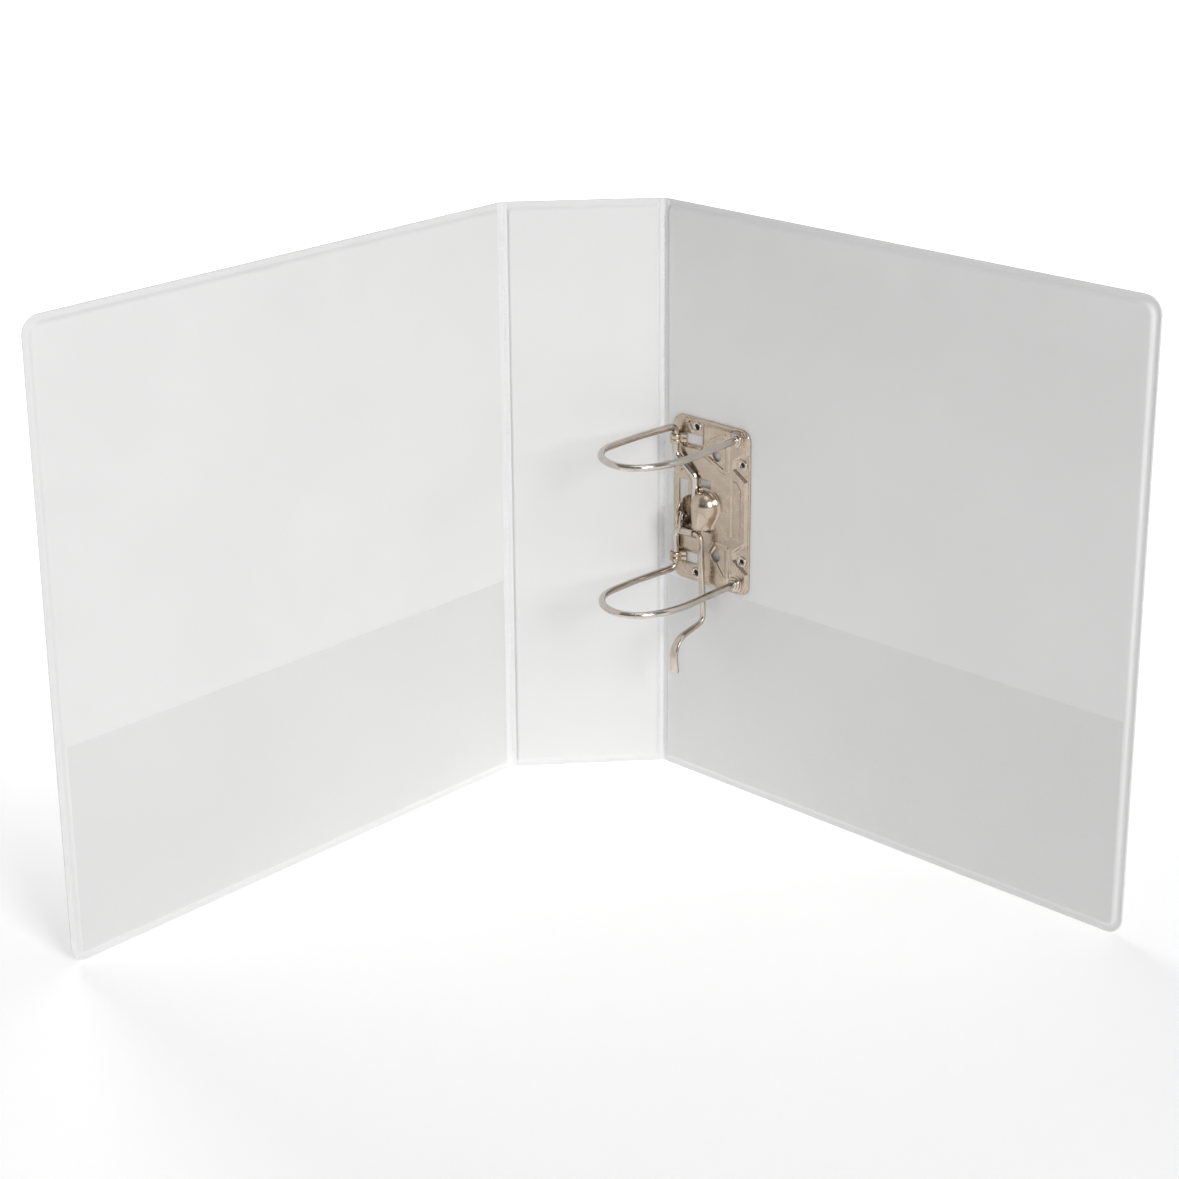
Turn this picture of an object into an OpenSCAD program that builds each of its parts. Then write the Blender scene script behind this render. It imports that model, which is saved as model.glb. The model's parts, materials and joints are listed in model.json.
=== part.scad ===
// Lever arch file for A4 sheets, standing open on its bottom edge.
// Frame: origin at the middle of the spine's foot, +X to the back cover's side,
// -Y towards the reader, +Z up. All lengths are millimetres.
// A cover's own frame: X runs from the hinge line to the outer edge, Y runs up
// the cover, and Z points out of the cover's inner face.

/* [Covers] */
// Height of the covers and the spine
file_h = 320; // [315:1:330]
// Width of a cover from its hinge line to its outer edge
cover_w = 290; // [280:1:300]
// Distance between the two hinge lines
spine_pitch = 85; // [80:1:90]
// Thickness of the board inside each panel
board_t = 2.4; // [2:0.1:3]
// Thickness of the vinyl over the board
skin_t = 0.3; // [0.2:0.05:0.5]
// Width of the welded edge beyond the board
weld_w = 4.5; // [3.5:0.5:6]
// Radius of the outer corners of a cover
corner_r = 9; // [6:1:14]
// Angle of the front cover from the spine's plane, at rest
front_angle = 41; // [5:1:80]
// Angle of the back cover from the spine's plane, at rest
back_angle = 47; // [5:1:80]
// Height of the clear pockets inside the covers
pocket_h = 107; // [60:1:110]

/* [Base plate] */
// Distance from the back hinge line to the plate
plate_u = 8.5; // [8:0.5:10]
// Width of the plate
plate_w = 51.5; // [50:0.5:54]
// Height of the plate
plate_h = 92; // [90:1:96]
// Height of the plate's face above the cover
plate_rise = 2.2; // [2:0.1:2.2]
// Thickness of the plate's steel
sheet_t = 1.2; // [1:0.1:1.4]

/* [Rings] */
// Distance between the two rings
ring_pitch = 80; // [80]
// Diameter of the ring wire
ring_d = 3.7; // [3.5:0.1:3.8]
// Distance from the hinge line to the fixed posts
post_u = 51.5; // [51:0.5:53]
// Straight length of a post above the plate
post_len = 36; // [34:0.5:38]
// Sideways reach of the crank between the rings
crank_reach = 12.3; // [12:0.1:12.6]

/* [Lever] */
// Diameter of the lever rod
lever_d = 2.8; // [2.4:0.1:3]
// Height of the lever's pivot above the cover
pivot_n = 6.8; // [6.6:0.1:7]
// Straight length of the lever arm
arm_len = 36; // [33:1:39]
// Width of the flattened finger tip
tip_w = 5; // [4:0.5:7]

/* [Hidden] */
$fn = 48;

// Panels: thickness, hinge gap and the board's outline
cover_t = board_t + 2 * skin_t;
face = cover_t / 2;
rim_t = 0.45;
hinge_gap = 1.3;
hinge_r = 0.9;
board_u = 4;
board_r = 5;
spine_w = spine_pitch - 2 * hinge_gap;
spine_board_w = spine_pitch - 2 * board_u;

// Clear films: gap under the film, film thickness and width of their welds
overlay_gap = 1;
overlay_t = 0.2;
pocket_gap = 0.3;
film_weld = 1.5;
label_t = 0.4;
label_clear = 0.2;

// Plate features, measured up or down from the plate's middle
mid = file_h / 2;
plate_r = 6;
floor_t = plate_rise - sheet_t;
inner_rivet = [24.5, 41];
outer_rivet = [55.2, 26.8];
pocket_w = [15, 12];
rivet_r = 2;
rivet_bore = 1.2;
rivet_head_r = 3.1;
rivet_head_t = 0.6;
washer_r = 4.5;
washer_t = 0.5;
clinch_t = 0.3;
round_window = [38, 28];
round_window_r = 2.7;
strap_window = [15.5, 30.5];
strap_window_w = 12;
strap_window_h = 6;
ear_window = [11.8, 148];
ear_window_w = 5.8;
ear_window_h = 22;

// Bent bars: sides of the section and largest angle between two sections
bar_sides = 12;
bar_step = 11;

// Rings: the bends of a post and of an arch, as [feed, roll, radius, angle]
wire_r = ring_d / 2;
seam_gap = 0.2;
seam_r = 16;
seam_turn = 20.5;
gap_turn = seam_gap / seam_r * 180 / PI;
post_foot_r = 2.9;
post_foot_t = 0.7;
post_root = floor_t - post_foot_t / 2;
post_bends = [[post_len + plate_rise - post_root, 0, 50, 31.5], [0, 0, seam_r, seam_turn - gap_turn]];
arch_bends = [[0, 0, seam_r, 33], [0, 0, 21.3, 95], [6.2, 0, 170, 8]];
post_end = walk(post_bends, [post_u, post_root], 90);
seam = walk([[0, 0, seam_r, gap_turn]], [post_end.x, post_end.y], post_end.z);
arch_end = walk(arch_bends, [seam.x, seam.y], seam.z);

// Knuckles: the wire's axis is where the arch reaches knuckle_n
knuckle_n = 4.45;
knuckle_r = 3;
knuckle_len = 5;
knuckle_play = 0.07;
knuckle_bend = 4;
arch_drop = (arch_end.y - knuckle_n) / -sin(arch_end.z);
knuckle_u = arch_end.x + arch_drop * cos(arch_end.z);
knuckle_v = ring_pitch / 2 - knuckle_bend - 0.2 - knuckle_len;

// Crank: out on a slant, down, straight back and down again
crank_n = 3.2;
crank_tilt = asin((crank_n - knuckle_n) / crank_reach);
crank_turn = 50;
crank_bend = 5;
back_bend = 3.5;
crank_top = 27;
crank_foot = 18;
slant = (crank_reach - 2 * crank_bend * (1 - cos(crank_turn))) / sin(crank_turn);
slant_drop = 2 * crank_bend * sin(crank_turn) + slant * cos(crank_turn);
upper_feed = ring_pitch / 2 - knuckle_bend - crank_top;
crank_feed = crank_top - slant_drop + crank_foot - back_bend;
lower_feed = ring_pitch / 2 - knuckle_bend - crank_foot - back_bend;
crank_u = knuckle_u + crank_reach * cos(crank_tilt);
channel_w = 5.2;

// Pressed ribs, as [X, Y, length, heading]
rib_w = 3.2;
rib_rise = 0.5;
ribs = [[48.5, -14, 28, 90], [31, 31.5, 14, 31]];

// Post collars
collar_r = 3.3;
collar_t = 1.2;
collar_top_r = 2.7;
collar_top_t = 0.8;

// Ear, lever pivot and dome
pivot_v = -8.4;
ear_u = 17.6;
ear_t = 1.2;
ear_r = 10;
cheek_gap = 0.4;
cheek_u = ear_u + ear_t + cheek_gap;
cheek_t = 1.2;
cheek_r = 3;
cheek_foot_r = 2.2;
pivot_r = 1.5;
pivot_play = 0.07;
pivot_head_r = 2.3;
pivot_head_t = 0.5;
dome = [31.8, -1];
dome_r = 8.6;
dome_mouth = crank_u + wire_r + 0.3;
dome_window = [26.2, 8.6];
dome_window_size = [8.4, 4.6];
tail_u = 29.5;
tail_r = 6.5;
tail_end = -13;
tail_slot = [27.6, -15.3];
tail_slot_size = [7.6, 2];

// Lever: cross bar, arm and finger tip in the plane X = arm_u
rod_r = lever_d / 2;
bar_v = pivot_v - 7.3;
bar_n = pivot_n + 1.2;
arm_u = 33;
arm_bend = 3;
arm_fall = 3.8;
tip_t = 2;
tip_len = 6;
lever_bends = [
    [arm_u - arm_bend - cheek_u, 180, arm_bend, 90],
    [4, 90, 30, arm_fall],
    [arm_len, 180, 5, 84],
    [11.5, 180, 10, 85]
];
roller_r = 2.3;
roller_len = 7.4;
roller_play = 0.07;

vinyl = [0.93, 0.93, 0.94];
film = [0.9, 0.94, 0.98, 0.3];
board = [0.62, 0.6, 0.57];
nickel = [0.76, 0.71, 0.65];
card = [0.97, 0.97, 0.96];

// Where a flat chain of bends ends: [x, y, heading]
function walk(bends, p, heading, i = 0) =
    i == len(bends) ? [p.x, p.y, heading] :
    let (
        feed = bends[i][0],
        r = bends[i][2],
        next = heading + bends[i][3],
        q = p + feed * [cos(heading), sin(heading)]
    )
    walk(bends, q + r * [sin(next) - sin(heading), cos(heading) - cos(next)], next, i + 1);

// Sections along a bar bent as a wire bender does it: feed, roll about the
// bar, then bend. A section is [centre, forward, towards the bend, total roll].
function sections(bends, from = [[0, 0, 0], [1, 0, 0], [0, 1, 0], 0], i = 0) =
    i == len(bends) ? [] :
    let (
        feed = bends[i][0],
        roll = bends[i][1],
        r = bends[i][2],
        turn = bends[i][3],
        forward = from[1],
        side = cos(roll) * from[2] + sin(roll) * cross(forward, from[2]),
        start = from[0] + feed * forward,
        steps = max(2, ceil(turn / bar_step)),
        bend = [
            for (k = [feed > 0 ? 0 : 1 : steps])
                let (a = turn * k / steps)
                [
                    start + r * sin(a) * forward + r * (1 - cos(a)) * side,
                    cos(a) * forward + sin(a) * side,
                    cos(a) * side - sin(a) * forward,
                    from[3] + roll
                ]
        ]
    )
    concat(i == 0 ? [from] : [], bend, sections(bends, bend[len(bend) - 1], i + 1));

function rim(section, r) = [
    for (k = [0 : bar_sides - 1])
        let (a = 360 * k / bar_sides - section[3])
        section[0] + r * (cos(a) * section[2] + sin(a) * cross(section[1], section[2]))
];

// The bar itself, with any children in the frame of its last section
module bent_bar(bends, r) {
    path = sections(bends);
    n = bar_sides;
    last = n * (len(path) - 1);
    sides = [
        for (i = [0 : len(path) - 2], k = [0 : n - 1])
            let (a = i * n + k, b = i * n + (k + 1) % n)
            each [[a, b + n, b], [a, a + n, b + n]]
    ];
    polyhedron(
        points = [for (section = path) each rim(section, r)],
        faces = concat([[for (k = [0 : n - 1]) k]], sides, [[for (k = [n - 1 : -1 : 0]) last + k]])
    );
    end = path[len(path) - 1];
    across = cross(end[1], end[2]);
    multmatrix([for (k = [0 : 2]) [end[1][k], end[2][k], across[k], end[0][k]]]) children();
}

// Frames of the front cover, the back cover and the mechanism on it
module on_front() mirror([1, 0, 0]) translate([spine_pitch / 2, 0, 0]) rotate([90, 0, -front_angle]) children();
module on_back() translate([spine_pitch / 2, 0, 0]) rotate([90, 0, -back_angle]) children();
module on_spine() rotate([90, 0, 0]) children();
module on_plate() on_back() translate([0, mid, face]) children();

// Both sides of the plate's middle
module up_and_down() {
    children();
    mirror([0, 1, 0]) children();
}

module slab(t) linear_extrude(height = t) children();

module round_square(size, r) {
    translate([r, 0]) square([size.x - 2 * r, size.y]);
    translate([0, r]) square([size.x, size.y - 2 * r]);
    for (x = [r, size.x - r], y = [r, size.y - r]) translate([x, y]) circle(r = r);
}

// Outlines of a cover and of the spine, with the welded edge cut back by inset
module cover_outline(from, inset, r) {
    width = cover_w - inset - from;
    height = file_h - 2 * inset;
    translate([from, inset]) {
        square([width - r, height]);
        translate([0, r]) square([width, height - 2 * r]);
        for (y = [r, height - r]) translate([width - r, y]) circle(r = r);
    }
}
module spine_outline(width, inset) translate([-width / 2, inset]) square([width, file_h - 2 * inset]);

// One vinyl skin: a flat welded edge, raised over its half of the board
module cover_skin() {
    difference() {
        union() {
            slab(rim_t) cover_outline(hinge_gap, 0, corner_r);
            slab(face) cover_outline(board_u - skin_t, weld_w - skin_t, board_r + skin_t);
        }
        translate([0, 0, -1]) slab(board_t / 2 + 1) cover_outline(board_u, weld_w, board_r);
    }
}
module spine_skin() {
    difference() {
        union() {
            slab(rim_t) spine_outline(spine_w, 0);
            slab(face) spine_outline(spine_board_w + 2 * skin_t, weld_w - skin_t);
        }
        translate([0, 0, -1]) slab(board_t / 2 + 1) spine_outline(spine_board_w, weld_w);
    }
}
module cover_board() translate([0, 0, -board_t / 2]) slab(board_t) cover_outline(board_u, weld_w, board_r);

// A clear pocket: film on three welded sides, open at the top
module film_pocket(size, gap) {
    difference() {
        cube([size.x, size.y, gap + overlay_t]);
        translate([film_weld, film_weld, -1]) cube([size.x - 2 * film_weld, size.y, gap + 1]);
    }
}
module cover_overlay() {
    translate([board_u + 1, weld_w + 1, -face]) mirror([0, 0, 1])
        film_pocket([cover_w - board_u - weld_w - 2, file_h - 2 * weld_w - 2], overlay_gap);
}
module cover_pocket() {
    translate([board_u + 1, weld_w + 1, face])
        film_pocket([cover_w - board_u - weld_w - 2, pocket_h], pocket_gap);
}

// Spine
module spine_board() color(board) on_spine() translate([0, 0, -board_t / 2]) slab(board_t)
    spine_outline(spine_board_w, weld_w);
module spine_outer_skin() color(vinyl) on_spine() mirror([0, 0, 1]) spine_skin();
module spine_liner() color(vinyl) on_spine() spine_skin();
module spine_overlay() color(film) on_spine() translate([1 - spine_board_w / 2, weld_w + 1, -face])
    mirror([0, 0, 1]) film_pocket([spine_board_w - 2, file_h - 2 * weld_w - 2], overlay_gap);
module spine_label() color(card) on_spine()
    translate([film_weld + 1.5 - spine_board_w / 2, weld_w + film_weld + 1.5, -face - label_clear - label_t])
        cube([spine_board_w - 2 * film_weld - 3, file_h - 2 * weld_w - film_weld - 4, label_t]);

// Hinges: a welded bead on the hinge line, with its web to the spine
module hinge_weld(side) color(vinyl) translate([side * spine_pitch / 2, 0, 0.5]) {
    cylinder(h = file_h - 1, r = hinge_r);
    translate([side > 0 ? -hinge_gap : 0.5, -rim_t, 0]) cube([hinge_gap - 0.5, 2 * rim_t, file_h - 1]);
}
module front_hinge_weld() hinge_weld(-1);
module back_hinge_weld() hinge_weld(1);

// Front cover
module front_board() color(board) on_front() cover_board();
module front_outer_skin() color(vinyl) on_front() mirror([0, 0, 1]) cover_skin();
module front_liner() color(vinyl) on_front() cover_skin();
module front_overlay() color(film) on_front() cover_overlay();
module front_inner_pocket() color(film) on_front() cover_pocket();

// Back cover, drilled for the rivets
module rivet_places() up_and_down() for (p = [inner_rivet, outer_rivet]) translate([p.x, p.y, 0]) children();
module rivet_drill() {
    difference() {
        children();
        translate([0, mid, 0]) rivet_places() cylinder(h = 4 * cover_t, r = rivet_r, center = true);
    }
}
module back_board() color(board) on_back() rivet_drill() cover_board();
module back_outer_skin() color(vinyl) on_back() rivet_drill() mirror([0, 0, 1]) cover_skin();
module back_liner() color(vinyl) on_back() rivet_drill() cover_skin();
module back_overlay() color(film) on_back() cover_overlay();
module back_inner_pocket() color(film) on_back() cover_pocket();

// Base plate: the pressed recesses, grown by g for the steel around them
module rivet_recess(g) {
    up_and_down() {
        translate([inner_rivet.x - pocket_w.x / 2 - g, inner_rivet.y - pocket_w.y / 3 - g])
            round_square([pocket_w.x * 0.75 + 2 * g, pocket_w.y * 0.68 + 2 * g], 2);
        translate([outer_rivet.x, outer_rivet.y]) circle(r = rivet_head_r + 0.7 + g);
    }
}
module crank_channel(g) {
    w = channel_w + 2 * g;
    top = [knuckle_u, crank_top - 1];
    bend = [crank_u, crank_top - slant_drop];
    run = bend - top;
    translate([crank_u - w / 2, -crank_foot - w / 2]) square([w, bend.y + crank_foot + w / 2]);
    translate([knuckle_u - 0.5, -crank_foot - w / 2]) square([crank_u - knuckle_u, w]);
    translate(top) rotate(atan2(run.y, run.x)) translate([0, -w / 2]) square([norm(run), w]);
    for (p = [top, bend]) translate(p) circle(d = w);
    translate([knuckle_u, -crank_foot]) circle(d = w);
}
module recesses(g) {
    rivet_recess(g);
    crank_channel(g);
}
module windows() {
    up_and_down() {
        translate(round_window) circle(r = round_window_r);
        translate(strap_window) square([strap_window_w, strap_window_h]);
    }
    translate([ear_window.x, ear_window.y - mid]) square([ear_window_w, ear_window_h]);
    translate(dome_window) square(dome_window_size);
    translate(tail_slot) square(tail_slot_size);
}
module pressed_ribs() for (rib = ribs) translate([rib[0], rib[1], 0]) rotate(rib[3]) {
    translate([0, -rib_w / 2]) square([rib[2], rib_w]);
    for (x = [0, rib[2]]) translate([x, 0]) circle(d = rib_w);
}
module knuckle() {
    difference() {
        union() {
            translate([knuckle_u, knuckle_v, knuckle_n]) rotate([-90, 0, 0])
                cylinder(h = knuckle_len, r = knuckle_r);
            translate([knuckle_u - knuckle_r, knuckle_v, floor_t])
                cube([2 * knuckle_r, knuckle_len, knuckle_n - floor_t]);
        }
        translate([knuckle_u, knuckle_v - 1, knuckle_n]) rotate([-90, 0, 0])
            cylinder(h = knuckle_len + 2, r = wire_r + knuckle_play);
    }
}
module ear() {
    intersection() {
        translate([ear_u, pivot_v, floor_t]) rotate([0, 90, 0]) cylinder(h = ear_t, r = ear_r);
        translate([ear_u - 1, -crank_foot + channel_w / 2 + 0.3, floor_t]) cube([ear_t + 2, 3 * ear_r, 2 * ear_r]);
    }
}
module dome_form(inset, past_end) {
    translate([dome.x, dome.y, plate_rise]) sphere(r = dome_r - inset);
    translate([tail_u, tail_end - past_end, plate_rise]) rotate([-90, 0, 0])
        cylinder(h = dome.y - tail_end + past_end, r = tail_r - inset);
}
module dome_shell() {
    difference() {
        dome_form(0, 0);
        dome_form(sheet_t, 1);
        translate([0, -mid, -2 * dome_r]) cube([dome_mouth, file_h, 4 * dome_r]);
        translate([0, -mid, plate_rise - 2 * dome_r]) cube([cover_w, file_h, 2 * dome_r - 0.5 * sheet_t]);
    }
}
module base_plate() color(nickel) on_plate() {
    difference() {
        union() {
            difference() {
                translate([plate_u, -plate_h / 2, 0]) slab(plate_rise) round_square([plate_w, plate_h], plate_r);
                difference() {
                    translate([plate_u + sheet_t, sheet_t - plate_h / 2, -1]) slab(floor_t + 1)
                        round_square([plate_w - 2 * sheet_t, plate_h - 2 * sheet_t], plate_r - sheet_t);
                    translate([0, 0, -2]) slab(plate_rise + 2) recesses(sheet_t);
                }
                translate([0, 0, floor_t]) slab(plate_rise) recesses(0);
            }
            slab(plate_rise + rib_rise) pressed_ribs();
            up_and_down() knuckle();
            ear();
        }
        translate([0, 0, -1]) slab(plate_rise + 3) windows();
        dome_form(sheet_t, 0);
        rivet_places() cylinder(h = 4 * plate_rise, r = rivet_r, center = true);
        up_and_down() translate([post_u, ring_pitch / 2, -1]) cylinder(h = plate_rise + 2, r = wire_r);
        translate([ear_u - 1, pivot_v, pivot_n]) rotate([0, 90, 0]) cylinder(h = ear_t + 2, r = pivot_r);
    }
    dome_shell();
}

// Hollow rivets through plate and cover, clinched over washers outside
module plate_rivets() color(nickel) on_plate() rivet_places() {
    difference() {
        union() {
            translate([0, 0, -cover_t - washer_t]) cylinder(h = cover_t + washer_t + floor_t, r = rivet_r);
            translate([0, 0, floor_t]) cylinder(h = rivet_head_t, r = rivet_head_r);
            translate([0, 0, -cover_t - washer_t - clinch_t]) cylinder(h = clinch_t, r = rivet_head_r);
        }
        translate([0, 0, -2 * cover_t]) cylinder(h = 4 * cover_t, r = rivet_bore);
    }
}
module rivet_washers() color(nickel) on_plate() rivet_places() {
    difference() {
        translate([0, 0, -cover_t - washer_t]) cylinder(h = washer_t, r = washer_r);
        translate([0, 0, -2 * cover_t]) cylinder(h = 2 * cover_t, r = rivet_r);
    }
}

// Fixed posts, swaged under the plate, and the collars at their feet
module post() {
    translate([post_u, ring_pitch / 2, floor_t - post_foot_t]) cylinder(h = post_foot_t, r = post_foot_r);
    translate([post_u, ring_pitch / 2, post_root]) rotate([90, 0, 0]) rotate([0, 0, 90])
        bent_bar(post_bends, wire_r);
}
module upper_post() color(nickel) on_plate() post();
module lower_post() color(nickel) on_plate() mirror([0, 1, 0]) post();
module post_collar() {
    translate([post_u, ring_pitch / 2, plate_rise]) difference() {
        union() {
            cylinder(h = collar_t, r = collar_r);
            cylinder(h = collar_t + collar_top_t, r = collar_top_r);
        }
        translate([0, 0, -1]) cylinder(h = 5, r = wire_r + 0.1);
    }
}
module upper_post_collar() color(nickel) on_plate() post_collar();
module lower_post_collar() color(nickel) on_plate() mirror([0, 1, 0]) post_collar();

// Both arches and the crank between them are one bent wire
module arch_wire() color(nickel) on_plate()
    translate([seam.x, ring_pitch / 2, seam.y]) rotate([90, 0, 0]) rotate([0, 0, seam.z])
        bent_bar(concat(
            arch_bends,
            [[arch_drop - knuckle_bend, 90, knuckle_bend, 90]],
            [[upper_feed, crank_tilt - arch_end.z + 180, crank_bend, crank_turn]],
            [[slant, 180, crank_bend, crank_turn]],
            [[crank_feed, 0, back_bend, 90]],
            [[crank_reach - 2 * back_bend, 180, back_bend, 90]],
            [[lower_feed, arch_end.z - 180 - crank_tilt, knuckle_bend, 90]],
            [[arch_drop - knuckle_bend, -90, arch_bends[2][2], arch_bends[2][3]]],
            [[arch_bends[2][0], 0, arch_bends[1][2], arch_bends[1][3]]],
            [[0, 0, arch_bends[0][2], arch_bends[0][3]]]
        ), wire_r);

// Lever: cross bar, arm, outward step and a flattened finger tip
module lever() color(nickel) on_plate() translate([cheek_u, bar_v, bar_n]) bent_bar(lever_bends, rod_r) {
    translate([-1, -tip_t / 2, -tip_w / 2]) cube([tip_len + 1, tip_t, tip_w]);
    translate([tip_len, -tip_t / 2, 0]) rotate([-90, 0, 0]) cylinder(h = tip_t, d = tip_w);
}
module cheek_outline() {
    run = [bar_v - pivot_v, bar_n - pivot_n];
    circle(r = cheek_r);
    translate(run) circle(r = cheek_foot_r);
    rotate(atan2(run.y, run.x)) translate([0, -cheek_foot_r]) square([norm(run), 2 * cheek_foot_r]);
}
module lever_cheek() color(nickel) on_plate()
    translate([cheek_u, pivot_v, pivot_n]) rotate([90, 0, 90]) difference() {
        slab(cheek_t) cheek_outline();
        translate([0, 0, -1]) cylinder(h = cheek_t + 2, r = pivot_r + pivot_play);
        translate([bar_v - pivot_v, bar_n - pivot_n, -1]) cylinder(h = cheek_t + 2, r = rod_r);
    }
module lever_rivet() color(nickel) on_plate() translate([0, pivot_v, pivot_n]) rotate([0, 90, 0]) {
    far = cheek_u + cheek_t + 0.1;
    translate([0, 0, ear_u]) cylinder(h = far - ear_u, r = pivot_r);
    translate([0, 0, far]) cylinder(h = pivot_head_t, r = pivot_head_r);
    translate([0, 0, ear_u - pivot_head_t]) cylinder(h = pivot_head_t, r = pivot_head_r);
}
module cam_roller() color(nickel) on_plate()
    translate([cheek_u + cheek_t + 0.3, bar_v, bar_n]) rotate([0, 90, 0]) difference() {
        cylinder(h = roller_len, r = roller_r);
        translate([0, 0, -1]) cylinder(h = roller_len + 2, r = rod_r + roller_play);
    }

spine_board();
spine_outer_skin();
spine_liner();
spine_overlay();
spine_label();
front_hinge_weld();
back_hinge_weld();
front_board();
front_outer_skin();
front_liner();
front_overlay();
front_inner_pocket();
back_board();
back_outer_skin();
back_liner();
back_overlay();
back_inner_pocket();
base_plate();
plate_rivets();
rivet_washers();
upper_post();
lower_post();
upper_post_collar();
lower_post_collar();
arch_wire();
lever();
lever_cheek();
lever_rivet();
cam_roller();
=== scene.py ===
"""Looks of a lever arch file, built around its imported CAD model.

Shapes are worked out in millimetres in local frames: X runs from a hinge line
to a cover's outer edge, Y runs up the cover and Z out of its inner face. On the
base plate Y is measured from the cover's middle and Z from its inner face.
"""

import json
import math

import bmesh
import bpy
import numpy as np
from mathutils import Matrix, Vector, noise


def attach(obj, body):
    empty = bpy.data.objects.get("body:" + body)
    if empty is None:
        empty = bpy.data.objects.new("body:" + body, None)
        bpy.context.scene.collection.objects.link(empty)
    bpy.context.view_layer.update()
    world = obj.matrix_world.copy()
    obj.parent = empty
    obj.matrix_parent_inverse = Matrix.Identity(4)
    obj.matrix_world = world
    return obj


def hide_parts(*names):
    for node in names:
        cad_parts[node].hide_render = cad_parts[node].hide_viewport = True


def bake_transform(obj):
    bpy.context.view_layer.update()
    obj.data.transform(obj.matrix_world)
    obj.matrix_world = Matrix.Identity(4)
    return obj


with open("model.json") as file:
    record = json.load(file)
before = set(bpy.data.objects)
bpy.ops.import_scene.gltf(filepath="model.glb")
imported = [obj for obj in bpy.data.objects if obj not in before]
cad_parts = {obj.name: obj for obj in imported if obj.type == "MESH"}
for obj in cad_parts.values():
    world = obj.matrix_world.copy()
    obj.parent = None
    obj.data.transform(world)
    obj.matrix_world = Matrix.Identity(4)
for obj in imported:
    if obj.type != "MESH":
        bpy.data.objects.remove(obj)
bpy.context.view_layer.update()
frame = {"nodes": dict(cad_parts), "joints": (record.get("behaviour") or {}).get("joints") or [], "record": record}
MM = 0.001
JOINTS = {joint["name"]: joint for joint in frame["joints"]}
MOUNTS = {mount["name"]: mount for mount in frame["record"]["mounts"]}


# ---------------------------------------------------------------- local frames


def local_frame(origin, along, z_sign=1):
    """Millimetres, X along, Y straight up, Z across them; z_sign -1 mirrors it."""
    x = Vector(along)
    y = Vector((0, 0, 1))
    z = z_sign * x.cross(y)
    turn = Matrix((x, y, z)).transposed().to_4x4()
    return Matrix.Translation(origin) @ turn @ Matrix.Scale(MM, 4)


def cover_frame(joint, side):
    """A cover's frame. Its hinge lays it flat at the upper limit of its range."""
    angle = math.radians(JOINTS[joint]["range_deg"][1])
    along = (side * math.cos(angle), -math.sin(angle), 0)
    return local_frame(JOINTS[joint]["pos_m"], along, side)


def local_box(node, place):
    """Lowest and highest corners of a CAD node in a local frame, in millimetres."""
    back = place.inverted()
    points = np.array([back @ v.co for v in frame["nodes"][node].data.vertices])
    return points.min(0), points.max(0)


SPINE = local_frame((0, 0, 0), (1, 0, 0))
FRONT = cover_frame("front_hinge", -1)
BACK = cover_frame("back_hinge", 1)
FRONT_ANGLE = math.radians(JOINTS["front_hinge"]["range_deg"][1])
BACK_ANGLE = math.radians(JOINTS["back_hinge"]["range_deg"][1])

liner_low, liner_high = local_box("back_liner", BACK)
board_low, board_high = local_box("back_board", BACK)
COVER_W = liner_high[0]
FILE_H = liner_high[1]
FACE = liner_high[2]
HINGE_GAP = liner_low[0]
SPINE_HALF = local_box("spine_liner", SPINE)[1][0]
SPINE_BOARD_HALF = local_box("spine_board", SPINE)[1][0]
HALF_PITCH = JOINTS["back_hinge"]["pos_m"][0] / MM
MID = FILE_H / 2
PLATE = BACK @ Matrix.Translation((0, MID, FACE))


# ---------------------------------------------------------------- mesh helpers


class Shape:
    """Vertices and faces gathered from several closed forms."""

    def __init__(self):
        self.points = []
        self.faces = []

    def add(self, points, faces, move=None):
        base = len(self.points)
        if move is not None:
            points = [move @ Vector(p) for p in points]
        self.points.extend(tuple(p) for p in points)
        self.faces.extend(tuple(base + i for i in face) for face in faces)
        return self


SHARP = 50


def make_piece(name, shape, place, material, slot, sharp=40):
    """One Blender object from a Shape in a local frame."""
    mesh = bpy.data.meshes.new(name)
    faces = shape.faces
    if place.determinant() < 0:
        faces = turned(faces)
    mesh.from_pydata([place @ Vector(p) for p in shape.points], [], faces)
    mesh.validate()
    mesh.shade_smooth()
    mesh.set_sharp_from_angle(angle=math.radians(sharp))
    mesh.materials.append(material)
    piece = bpy.data.objects.new(name, mesh)
    bpy.context.scene.collection.objects.link(piece)
    return piece


def stand_in(node, body, *details, **more):
    """A piece that takes a CAD node's place on its body."""
    piece = make_piece(*details, **more)
    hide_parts(node)
    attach(piece, body)


def smooth(x):
    """Smooth step from 0 to 1."""
    x = np.clip(x, 0, 1)
    return x * x * (3 - 2 * x)


def grid_faces(rows, columns):
    """Quads of a lattice stored row by row, facing +Z where columns run along X."""
    faces = []
    for row in range(rows - 1):
        for column in range(columns - 1):
            a = row * columns + column
            faces.append((a, a + 1, a + columns + 1, a + columns))
    return faces


def grid_rim(rows, columns):
    """The lattice's border, counterclockwise."""
    rim = list(range(columns))
    rim += [row * columns + columns - 1 for row in range(1, rows)]
    rim += [(rows - 1) * columns + column for column in range(columns - 2, -1, -1)]
    return rim + [row * columns for row in range(rows - 2, 0, -1)]


def turned(faces, by=0):
    """The faces turned over, with their indices moved up."""
    return [tuple(by + i for i in face)[::-1] for face in faces]


def mirrored(points, faces, side, axis=2):
    """The form as it is for side 1, or its mirror image across an axis for -1."""
    if side > 0:
        return points, faces
    points = np.array(points, float)
    points[:, axis] *= -1
    return points, turned(faces)


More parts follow.
